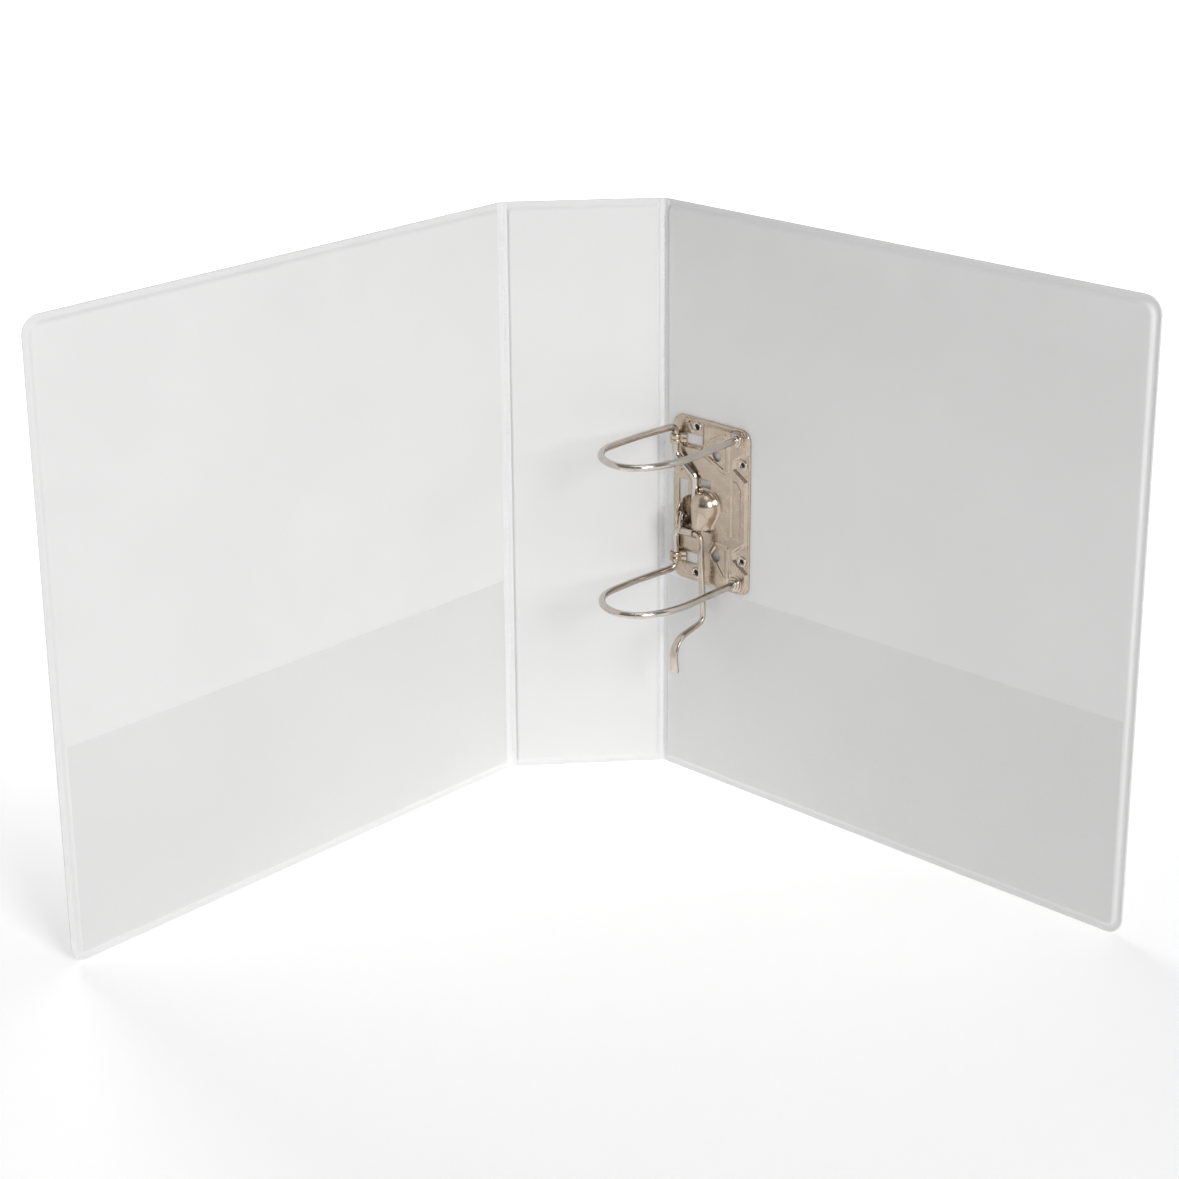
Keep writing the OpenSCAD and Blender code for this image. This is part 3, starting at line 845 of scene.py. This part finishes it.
# Place of each rivet, one above and one below the plate's middle, and its bore
RIVET_SPOTS = (((24.5, 41.0), 1.45), ((55.2, 26.8), 1.15))


def windows_distance(u, v):
    """Distance to the nearest window or rivet hole, negative inside one."""
    best = np.full(u.shape, 1e9)
    for kind, centre, size in WINDOWS:
        if kind == "round":
            one = np.hypot(u - centre[0], v - centre[1]) - size
        else:
            one = sd_box(u, v, centre, size, 0.7)
        best = np.minimum(best, one)
    for spot, bore in RIVET_SPOTS:
        best = np.minimum(best, np.hypot(u - spot[0], np.abs(v) - spot[1]) - bore - 0.5)
    return best


def plate_edge(u, v):
    """Negative where the plate has metal."""
    outline = sd_box(u, v, PLATE_MID, PLATE_HALF, PLATE_CORNER)
    tail_mid = (TAIL_U, (DOME[1] + TAIL_END) / 2)
    tail_half = (TAIL_R - DOME_T, (DOME[1] - TAIL_END) / 2)
    head = np.hypot(u - DOME[0], v - DOME[1]) - (DOME_R - DOME_T)
    under_dome = np.minimum(head, sd_box(u, v, tail_mid, tail_half, 0.1))
    past_mouth = DOME_MOUTH - 1 - u
    holes = np.minimum(windows_distance(u, v), np.maximum(under_dome, past_mouth))
    return np.maximum(outline, -holes)


def crank_channel(u, v):
    """Distance to the channel that the crank lies in."""
    half = 2.6
    top = (KNUCKLE.x, CRANK_TOP)
    corner = (CRANK_U, 13.0)
    foot = (CRANK_U, -CRANK_FOOT)
    parts = [
        sd_line(u, v, top, corner, half),
        sd_line(u, v, corner, foot, half),
        sd_line(u, v, (KNUCKLE.x, -CRANK_FOOT), foot, half),
    ]
    return np.minimum.reduce(parts)


def plate_height(u, v):
    """Top face of the pressed sheet."""
    raised = within(sd_polygon(u, v, shrunk(PLATEAU, 1.5), 1.5), 1.7)
    n = FLOOR + (PLATE_RISE - FLOOR) * raised
    for triangle in (UPPER_TRIANGLE, LOWER_TRIANGLE):
        ring = sd_polygon(u, v, shrunk(triangle, 1.2), 1.2)
        n = n + 0.5 * raised * (within(ring, 0.7) - within(ring + 2.2, 0.7))
    pill = sd_line(u, v, (32.6, 33.6), (43.4, 40.0), 1.7)
    n = n + 0.36 * (within(pill, 0.8) - 0.5 * within(pill + 0.8, 0.8))
    panel_edge = sd_polygon(u, v, shrunk(PILL_PANEL, 0.7), 0.7)
    n = n - 0.4 * within(panel_edge, 0.7) + 0.12 * within(np.abs(panel_edge) - 0.5, 0.5)
    arrow = sd_polygon(u, v, [(25.9, -25.6), (27.8, -27.6), (27.8, -23.6)])
    n = n + 0.3 * within(arrow, 0.5)
    crescent = np.maximum(
        np.hypot(u - 14.4, v - 15.6) - 1.7, 1.1 - np.hypot(u - 14.9, v - 16.1)
    )
    n = n + 0.6 * within(crescent, 0.5)
    for spot in ((POST.x, RING_V), (POST.x, -RING_V)):
        boss = np.hypot(u - spot[0], v - spot[1])
        n = n - 0.25 * within(np.abs(boss - 4.6) - 0.3, 0.6)
    slope = within(sd_line(u, v, (18.5, 42.2), (20.4, 38.6), 1.3), 1.6)
    n = n + 0.7 * slope
    channel = within(crank_channel(u, v), 1.5)
    n = n + (FLOOR - n) * channel
    border = -sd_box(u, v, PLATE_MID, PLATE_HALF, PLATE_CORNER)
    n = n - 0.22 * within(np.abs(border - 1.5) - 0.15, 0.5)
    edge = -plate_edge(u, v)
    ease = 0.4
    gap = np.clip(ease - edge, 0, ease)
    return n - (ease - np.sqrt(ease * ease - gap * gap)) * 0.8


def cut_lattice(low, high, step, keep):
    """A lattice over a box, trimmed to keep(u, v) < 0.

    Returns the points, the faces and the edges of the trimmed border.
    """
    across = np.arange(low[0], high[0] + step, step)
    up = np.arange(low[1], high[1] + step, step)
    u, v = np.meshgrid(across, up)
    value = keep(u, v).ravel()
    points = np.stack([u.ravel(), v.ravel()], 1).tolist()
    columns = len(across)
    faces, border = [], []
    crossings = {}

    def crossing(a, b):
        key = (min(a, b), max(a, b))
        if key not in crossings:
            share = value[a] / (value[a] - value[b])
            pa, pb = points[a], points[b]
            crossings[key] = len(points)
            points.append([pa[0] + share * (pb[0] - pa[0]), pa[1] + share * (pb[1] - pa[1])])
        return crossings[key]

    for row in range(len(up) - 1):
        for column in range(columns - 1):
            a = row * columns + column
            cell = (a, a + 1, a + columns + 1, a + columns)
            signs = [value[i] < 0 for i in cell]
            if all(signs):
                faces.append(cell)
            elif any(signs):
                ring = []
                for k in range(4):
                    here, after = cell[k], cell[(k + 1) % 4]
                    if signs[k]:
                        ring.append((here, False))
                    if signs[k] != signs[(k + 1) % 4]:
                        ring.append((crossing(here, after), True))
                faces.append(tuple(i for i, _ in ring))
                for (i, cut_i), (j, cut_j) in zip(ring, ring[1:] + ring[:1]):
                    if cut_i and cut_j:
                        border.append((i, j))
    used = sorted({i for face in faces for i in face})
    index = {old: new for new, old in enumerate(used)}
    points = np.array([points[i] for i in used])
    faces = [tuple(index[i] for i in face) for face in faces]
    border = [(index[i], index[j]) for i, j in border]
    return points, faces, border


def pressed_sheet():
    """The flat part of the base plate, pressed from one sheet."""
    low = (PLATE_MID[0] - PLATE_HALF[0] - 0.5, -PLATE_HALF[1] - 0.5)
    high = (PLATE_MID[0] + PLATE_HALF[0] + 0.5, PLATE_HALF[1] + 0.5)
    flat, faces, border = cut_lattice(low, high, STEP_MM, plate_edge)
    top = plate_height(flat[:, 0], flat[:, 1])
    bottom = np.maximum(top - SHEET_T, 0.02)
    count = len(flat)
    points = np.concatenate([np.column_stack([flat, top]), np.column_stack([flat, bottom])])
    faces = faces + [tuple(count + i for i in face)[::-1] for face in faces]
    faces += [(j, i, i + count, j + count) for i, j in border]
    return points, faces


def dome_rows():
    """Rows of the dome's surface: round the head, and down both sides of the tail.

    Each row climbs from a flared foot on the plate to the ridge.
    """

    def hub(share):
        """Middle and radius of the form, from the head at 0 to the tail's end at 1."""
        ease = float(smooth(share))
        u = DOME[0] + (TAIL_U - DOME[0]) * ease
        return (u, DOME[1] + (TAIL_END - DOME[1]) * share), DOME_R + (TAIL_R - DOME_R) * ease

    down = np.linspace(0, 1, 14)
    spots = [(*hub(share), math.pi) for share in down[::-1]]
    spots += [(DOME, DOME_R, a) for a in np.linspace(math.pi, 0, 49)[1:-1]]
    spots += [(*hub(share), 0.0) for share in down]
    flare = 1.5
    foot = [
        (flare * (1 - math.sin(a)), flare * (1 - math.cos(a)))
        for a in np.linspace(0, math.radians(75), 8)
    ]
    rows = []
    for (u, v), radius, heading in spots:
        start = math.asin(foot[-1][1] / radius)
        row = [(radius * math.cos(start) + out, up) for out, up in foot[:-1]]
        climb = np.linspace(start, math.pi / 2, 22)
        row += [(radius * math.cos(a), radius * math.sin(a)) for a in climb]
        c, s = math.cos(heading), math.sin(heading)
        rows.append([(u + out * c, v + out * s, PLATE_RISE + 0.02 + up) for out, up in row])
    return rows


def dome_shell():
    """The dome over the cam, open on the crank's side and at its lower end."""
    rows = dome_rows()
    work = bmesh.new()
    grid = [[work.verts.new(p) for p in row] for row in rows]
    for left, right in zip(grid, grid[1:]):
        for k in range(len(left) - 1):
            work.faces.new((left[k], right[k], right[k + 1], left[k + 1]))
    bmesh.ops.remove_doubles(work, verts=work.verts, dist=0.004)
    bmesh.ops.bisect_plane(
        work,
        geom=work.verts[:] + work.edges[:] + work.faces[:],
        plane_co=(DOME_MOUTH, 0, 0),
        plane_no=(-1, 0, 0),
        clear_outer=True,
    )
    bmesh.ops.recalc_face_normals(work, faces=work.faces)
    if sum(face.normal.z for face in work.faces) < 0:
        bmesh.ops.reverse_faces(work, faces=work.faces)
    work.normal_update()
    bmesh.ops.solidify(work, geom=work.faces[:], thickness=DOME_T)
    work.verts.index_update()
    points = [tuple(v.co) for v in work.verts]
    faces = [tuple(v.index for v in face.verts) for face in work.faces]
    work.free()
    return points, faces


PIVOT = on_plate(JOINTS["lever_pivot"]["pos_m"])
EAR_T = 1.2
TURN_ALONG_X = Matrix(((0, 0, 1, 0), (1, 0, 0, 0), (0, 1, 0, 0), (0, 0, 0, 1)))


def along_x(u, v=0.0, n=0.0):
    """Puts an outline drawn in (v, n) and extruded along +Z at that place, along +X."""
    return Matrix.Translation((u, v, n)) @ TURN_ALONG_X


def ear():
    """The ear that carries the lever's pivot, folded up out of the window."""
    radius = 10
    cut = -CRANK_FOOT + 2.9
    points = [p for p in arc((PIVOT.y, FLOOR), radius, 0, 180, 60) if p[0] > cut]
    rise = FLOOR + math.sqrt(radius**2 - (cut - PIVOT.y) ** 2)
    points += [(cut, rise - 0.05), (cut, FLOOR - 0.6), (points[0][0], FLOOR - 0.6)]
    return extrude(points, EAR_T, 0.2)


def knuckles():
    """A strap for each end of the crank, curled round the wire in two ridges."""
    shape = Shape()
    inner, outer = WIRE_R + 0.12, WIRE_R + 1.15
    level = FLOOR - KNUCKLE.z
    strap = arc((0, 0), outer, -28, 232, 44) + arc((0, 0), inner, 232, -28, 40)
    leg = [
        (outer * 0.78, -outer * 0.62),
        (outer * 0.95, level + 0.5),
        (outer + 1.6, level + 0.05),
        (outer + 1.6, level - 0.6),
        (outer * 0.2, level - 0.6),
        (inner * 0.72, -inner * 0.68 - 0.12),
    ]
    ridge, pitch = 2.5, 2.6
    for end in (1, -1):
        first = end * (RING_V - KNUCKLE_BEND - 0.2)
        for step in (0, pitch):
            begin = first - end * step + (0 if end > 0 else ridge)
            move = Matrix.Translation((KNUCKLE.x, begin, KNUCKLE.z))
            move = move @ Matrix.Rotation(math.pi / 2, 4, "X")
            for form in (strap, leg):
                points, faces = extrude(ccw(form), ridge, 0.22)
                shape.add(points, faces, move)
    return shape


def ccw(outline):
    """The outline in counterclockwise order."""
    points = np.array(outline, float)
    ahead = np.roll(points, -1, 0)
    area = (points[:, 0] * ahead[:, 1] - ahead[:, 0] * points[:, 1]).sum()
    return list(outline) if area > 0 else list(outline)[::-1]


def base_plate():
    shape = Shape()
    shape.add(*pressed_sheet())
    shape.add(*dome_shell())
    shape.add(*ear(), move=along_x(PIVOT.x))
    straps = knuckles()
    shape.add(straps.points, straps.faces)
    details = ("pressed_plate", shape, PLATE, PLATE_NICKEL, "pressed_nickel", SHARP)
    stand_in("base_plate", "back_cover", *details)


# ------------------------------------------------------- rivets, collars, lever


def rivet_profile(bore):
    """Section of a rivet: its rolled lip on the plate and its shank through the cover."""
    lip = [(3.0, 0.0), (3.05, 0.25), (2.9, 0.5), (2.6, 0.64), (2.2, 0.66), (1.85, 0.5)]
    return lip + [(bore + 0.15, 0.15), (bore, -0.2), (bore, -4.6), (2.0, -4.6), (2.0, 0.0)]


def rivets():
    """Heads and tails of the four rivets, and near-black bottoms in their bores: painted shade for the dark inside
    of each hollow rivet.
    """
    heads, bore_shade = Shape(), Shape()
    under = local_box("rivet_washers", PLATE)[0][2]
    tail = [(1.2, 0.0), (1.25, -0.3), (1.6, -0.5), (2.3, -0.5), (2.9, -0.32)]
    tail += [(3.1, 0.0), (2.0, 0.02)]
    for end in (1, -1):
        for (u, v), bore in RIVET_SPOTS:
            move = Matrix.Translation((u, end * v, FLOOR))
            heads.add(*lathe(rivet_profile(bore)[::-1]), move)
            heads.add(*lathe(tail), Matrix.Translation((u, end * v, under)))
            # A near-black plug down each bore: painted shade for the hollow rivet's dark inside.
            wide = bore + 0.02
            bore_shade.add(*lathe([(0.001, -4.3), (wide, -4.3), (wide, -0.6), (0.001, -0.75)]), move)
    details = ("hollow_rivets", heads, PLATE, RIVET_NICKEL, "rivet_nickel", SHARP)
    stand_in("plate_rivets", "back_cover", *details)
    piece = make_piece("rivet_bore_shade", bore_shade, PLATE, PAINTED_BORE_SHADE, "rivet_nickel", SHARP)
    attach(piece, "back_cover")


def collars():
    """Swaged rings at the foot of each post."""
    bore = WIRE_R - 0.05
    profile = [(bore, 0.0), (3.5, 0.0), (3.7, 0.3), (3.55, 0.75), (3.0, 0.95)]
    profile += [(2.75, 1.1), (2.8, 1.4), (2.7, 1.95), (2.5, 2.3), (2.2, 2.45), (bore, 2.5)]
    for name, sign in (("upper_post_collar", 1), ("lower_post_collar", -1)):
        move = Matrix.Translation((POST.x, sign * RING_V, PLATE_RISE))
        shape = Shape().add(*lathe(profile), move)
        details = (name + "_rings", shape, PLATE, RIVET_NICKEL, "rivet_nickel", SHARP)
        stand_in(name, "back_cover", *details)


CHEEK_U = PIVOT.x + 1.6
CHEEK_T = 1.2
BAR_V = PIVOT.y - 7.3
BAR_N = PIVOT.z + 1.2
ARM_U = 33
ARM_LEN = 36
ARM_BEND = 3
LEVER_BENDS = [
    [ARM_U - ARM_BEND - CHEEK_U, 180, ARM_BEND, 90],
    [4, 90, 30, 3.8],
    [ARM_LEN, 180, 5, 84],
    [11.5, 180, 10, 85],
]
TIP_LEN = 8.5


def lever():
    """A rod flattened along its arm, round again at its heel and spread into a finger tip."""
    path = bend_path(LEVER_BENDS, ((CHEEK_U, BAR_V, BAR_N), (1, 0, 0), (0, 1, 0)), 6, 1.5)
    centre, forward, side = path[-1]
    for share in np.linspace(0, 1, 9)[1:]:
        path.append((centre + float(share) * TIP_LEN * forward, forward, side))
    path = eased_ends(path, 0.25)
    travelled = [0.0]
    for (here, _, _), (after, _, _) in zip(path, path[1:]):
        travelled.append(travelled[-1] + (after - here).length)
    elbow = ARM_U - CHEEK_U
    heel = elbow + ARM_LEN + 5
    length = travelled[-1]
    # Half width, half thickness and squareness of the section along the rod
    stops = [0, elbow - 2, elbow + 4, heel - 8, heel - 2, heel + 9, length - 12, length]
    wide = [1.35, 1.35, 1.75, 1.7, 1.5, 1.55, 2.45, 2.55]
    thin = [1.35, 1.35, 1.05, 1.05, 1.3, 1.25, 0.9, 0.75]
    square = [2, 2.2, 5, 5, 2.4, 2.4, 4, 5]

    def section(i, angle):
        at = travelled[i]
        power = 2 / np.interp(at, stops, square)
        close = {0: 0.85, len(path) - 1: 0.8}.get(i, 1.0)
        c, s = math.cos(angle), math.sin(angle)
        a = math.copysign(abs(c) ** power, c) * np.interp(at, stops, wide)
        b = math.copysign(abs(s) ** power, s) * np.interp(at, stops, thin)
        return float(a * close), float(b * close)

    shape = Shape().add(*sweep(path, section, 32))
    stand_in("lever", "lever", "lever_rod", shape, PLATE, LEVER_NICKEL, "lever_nickel")


def cheek():
    """The cheek between the pivot and the cross bar."""
    dv, dn = BAR_V - PIVOT.y, BAR_N - PIVOT.z
    heading = math.degrees(math.atan2(dn, dv))
    outline = arc((0, 0), 3.2, heading + 100, heading + 260, 24)
    outline += arc((dv, dn), 2.5, heading - 95, heading + 95, 20)
    slab = extrude(ccw(outline), CHEEK_T, 0.2)
    shape = Shape().add(*slab, along_x(CHEEK_U, PIVOT.y, PIVOT.z))
    details = ("cheek_plate", shape, PLATE, LEVER_NICKEL, "lever_nickel", SHARP)
    stand_in("lever_cheek", "lever", *details)


def pivot_rivet():
    """The pivot, upset on both sides into a ring with a dimple."""
    low, high = local_box("lever_rivet", PLATE)
    head = [(2.3, 0.0), (2.35, 0.2), (2.2, 0.42), (1.8, 0.52), (1.45, 0.45)]
    head += [(1.2, 0.22), (0.9, 0.12), (0.001, 0.1)]
    tail = [(0.001, 0.0), (1.2, -0.02), (1.7, 0.0), (2.2, 0.12), (2.3, 0.5), (0.001, 0.5)]
    length = high[0] - low[0] - 1.0
    shank = lathe([(0.001, -length), (1.5, -length), (1.5, 0.0), *head])
    shape = Shape().add(*shank, along_x(high[0] - 0.5, PIVOT.y, PIVOT.z))
    shape.add(*lathe(tail), along_x(low[0], PIVOT.y, PIVOT.z))
    details = ("pivot_rivet", shape, PLATE, RIVET_NICKEL, "rivet_nickel", SHARP)
    stand_in("lever_rivet", "back_cover", *details)


# ----------------------------------------------------------------- build it all


def build():
    for name, place, seed in (("front", FRONT, 3), ("back", BACK, 11)):
        body = name + "_cover"
        inside, outside = ripples(seed, 0.75, 0.6), ripples(seed + 5, 0.3, 0.3)
        for kind, material, side, slack, node in (
            ("inner_vinyl", INNER_VINYL, 1, inside, name + "_liner"),
            ("outer_vinyl", OUTER_VINYL, -1, outside, name + "_outer_skin"),
        ):
            cover_skin(f"{name}_{kind}", place, material, kind, side, slack, body, node)
        pocket(name + "_pocket_film", place, inside, body, name + "_inner_pocket")
        overlay(name + "_overlay_film", place, outside, body, name + "_overlay", seed)
    inside, outside = ripples(21, 0, 0.3, 0.3), ripples(25, 0, 0.3, 0.3)
    spine_skin("spine_inner_vinyl", INNER_VINYL, "inner_vinyl", 1, inside, "spine_liner")
    spine_skin("spine_outer_vinyl", OUTER_VINYL, "outer_vinyl", -1, outside, "spine_outer_skin")
    overlay("spine_overlay_film", SPINE, outside, "spine", "spine_overlay", 2)
    hinge_strip("front_hinge_strip", -1, FRONT_ANGLE, "front_hinge_weld")
    hinge_strip("back_hinge_strip", 1, BACK_ANGLE, "back_hinge_weld")
    base_plate()
    ring_posts()
    arch_wire()
    rivets()
    collars()
    lever()
    cheek()
    pivot_rivet()
    for node, material in (
        ("spine_board", BOARD),
        ("front_board", BOARD),
        ("back_board", BOARD),
        ("spine_label", CARD),
        ("rivet_washers", RIVET_NICKEL),
        ("cam_roller", LEVER_NICKEL),
    ):
        mesh = frame["nodes"][node].data
        mesh.materials.clear()
        mesh.materials.append(material)


build()


# --------------------------------------------------------- stage, light, camera


def floor():
    """A white ground, brighter far behind the file so that the backdrop stays white."""
    mesh = bpy.data.meshes.new("floor")
    half = 12
    corners = [(-half, -half, 0), (half, -half, 0), (half, half, 0), (-half, half, 0)]
    mesh.from_pydata(corners, [], [(0, 1, 2, 3)])
    material, nodes, links, shader = new_material("floor_white")
    fine = noise_node(nodes, links, 400, 2)
    tone = ramp_between(nodes, links, fine, (0.9, 0.9, 0.9), (0.92, 0.92, 0.92))
    links.new(tone, shader.inputs["Base Color"])
    shader.inputs["Roughness"].default_value = 0.9
    shader.inputs["Emission Color"].default_value = (1, 1, 1, 1)
    where = nodes.new("ShaderNodeTexCoord")
    parts = nodes.new("ShaderNodeSeparateXYZ")
    links.new(where.outputs["Object"], parts.inputs["Vector"])
    glow = nodes.new("ShaderNodeMapRange")
    span = {"From Min": -0.15, "From Max": 0.5, "To Min": 0.29, "To Max": 1.0}
    for socket, value in span.items():
        glow.inputs[socket].default_value = value
    links.new(parts.outputs["Y"], glow.inputs["Value"])
    links.new(glow.outputs["Result"], shader.inputs["Emission Strength"])
    mesh.materials.append(material)
    plane = bpy.data.objects.new("floor", mesh)
    bpy.context.scene.collection.objects.link(plane)


def area_light(name, spot, target, size, energy):
    data = bpy.data.lights.new(name, "AREA")
    data.shape = "RECTANGLE"
    data.size, data.size_y = size
    data.energy = energy
    light = bpy.data.objects.new(name, data)
    bpy.context.scene.collection.objects.link(light)
    light.location = spot
    aim = Vector(target) - Vector(spot)
    light.rotation_euler = aim.to_track_quat("-Z", "Y").to_euler()


def lights():
    """Softboxes, and a world that is white at the horizon and dark just above it."""
    world = bpy.data.worlds.new("studio")
    world.use_nodes = True
    bpy.context.scene.world = world
    nodes, links = world.node_tree.nodes, world.node_tree.links
    sky = nodes.new("ShaderNodeTexCoord")
    parts = nodes.new("ShaderNodeSeparateXYZ")
    links.new(sky.outputs["Generated"], parts.inputs["Vector"])
    ramp = nodes.new("ShaderNodeValToRGB")
    links.new(parts.outputs["Z"], ramp.inputs["Fac"])
    stops = ramp.color_ramp.elements
    sky_levels = {0.0: 1.0, 0.09: 1.0, 0.12: 0.012, 0.3: 0.012, 0.42: 0.25, 1.0: 0.31}
    for position, level in sky_levels.items():
        stop = stops.new(position) if 0 < position < 1 else stops[-1 if position else 0]
        stop.color = (level, level, level, 1)
    background = nodes["Background"]
    links.new(ramp.outputs["Color"], background.inputs["Color"])
    background.inputs["Strength"].default_value = 1.0
    area_light("key", (1.5, -3.2, 1.95), (0.0, 0.0, 0.15), (1.25, 1.7), 75)
    area_light("top", (0.2, -0.3, 2.0), (0.0, -0.1, 0.1), (1.0, 1.0), 4)
    area_light("back", (-1.3, 2.4, 1.6), (0.0, 0.0, 0.15), (1.4, 1.4), 32)


def camera():
    """The photograph's view."""
    data = bpy.data.cameras.new("camera")
    data.sensor_width = 36
    data.lens = 76.94
    data.shift_y = -0.15
    data.clip_end = 50
    eye = Vector((-0.1001, -1.26, 0.6241))
    yaw, pitch, roll = (math.radians(a) for a in (4.65, 18.366, -0.438))
    ahead = math.cos(pitch)
    forward = Vector((math.sin(yaw) * ahead, math.cos(yaw) * ahead, -math.sin(pitch)))
    level = forward.cross(Vector((0, 0, 1))).normalized()
    rise = level.cross(forward)
    right = math.cos(roll) * level + math.sin(roll) * rise
    up = math.cos(roll) * rise - math.sin(roll) * level
    turn = Matrix((right, up, -forward)).transposed().to_4x4()
    view = bpy.data.objects.new("camera", data)
    bpy.context.scene.collection.objects.link(view)
    view.matrix_world = Matrix.Translation(eye) @ turn
    bpy.context.scene.camera = view


floor()
lights()
camera()
bpy.context.scene.view_settings.view_transform = "Standard"
bpy.context.scene.view_settings.look = "None"
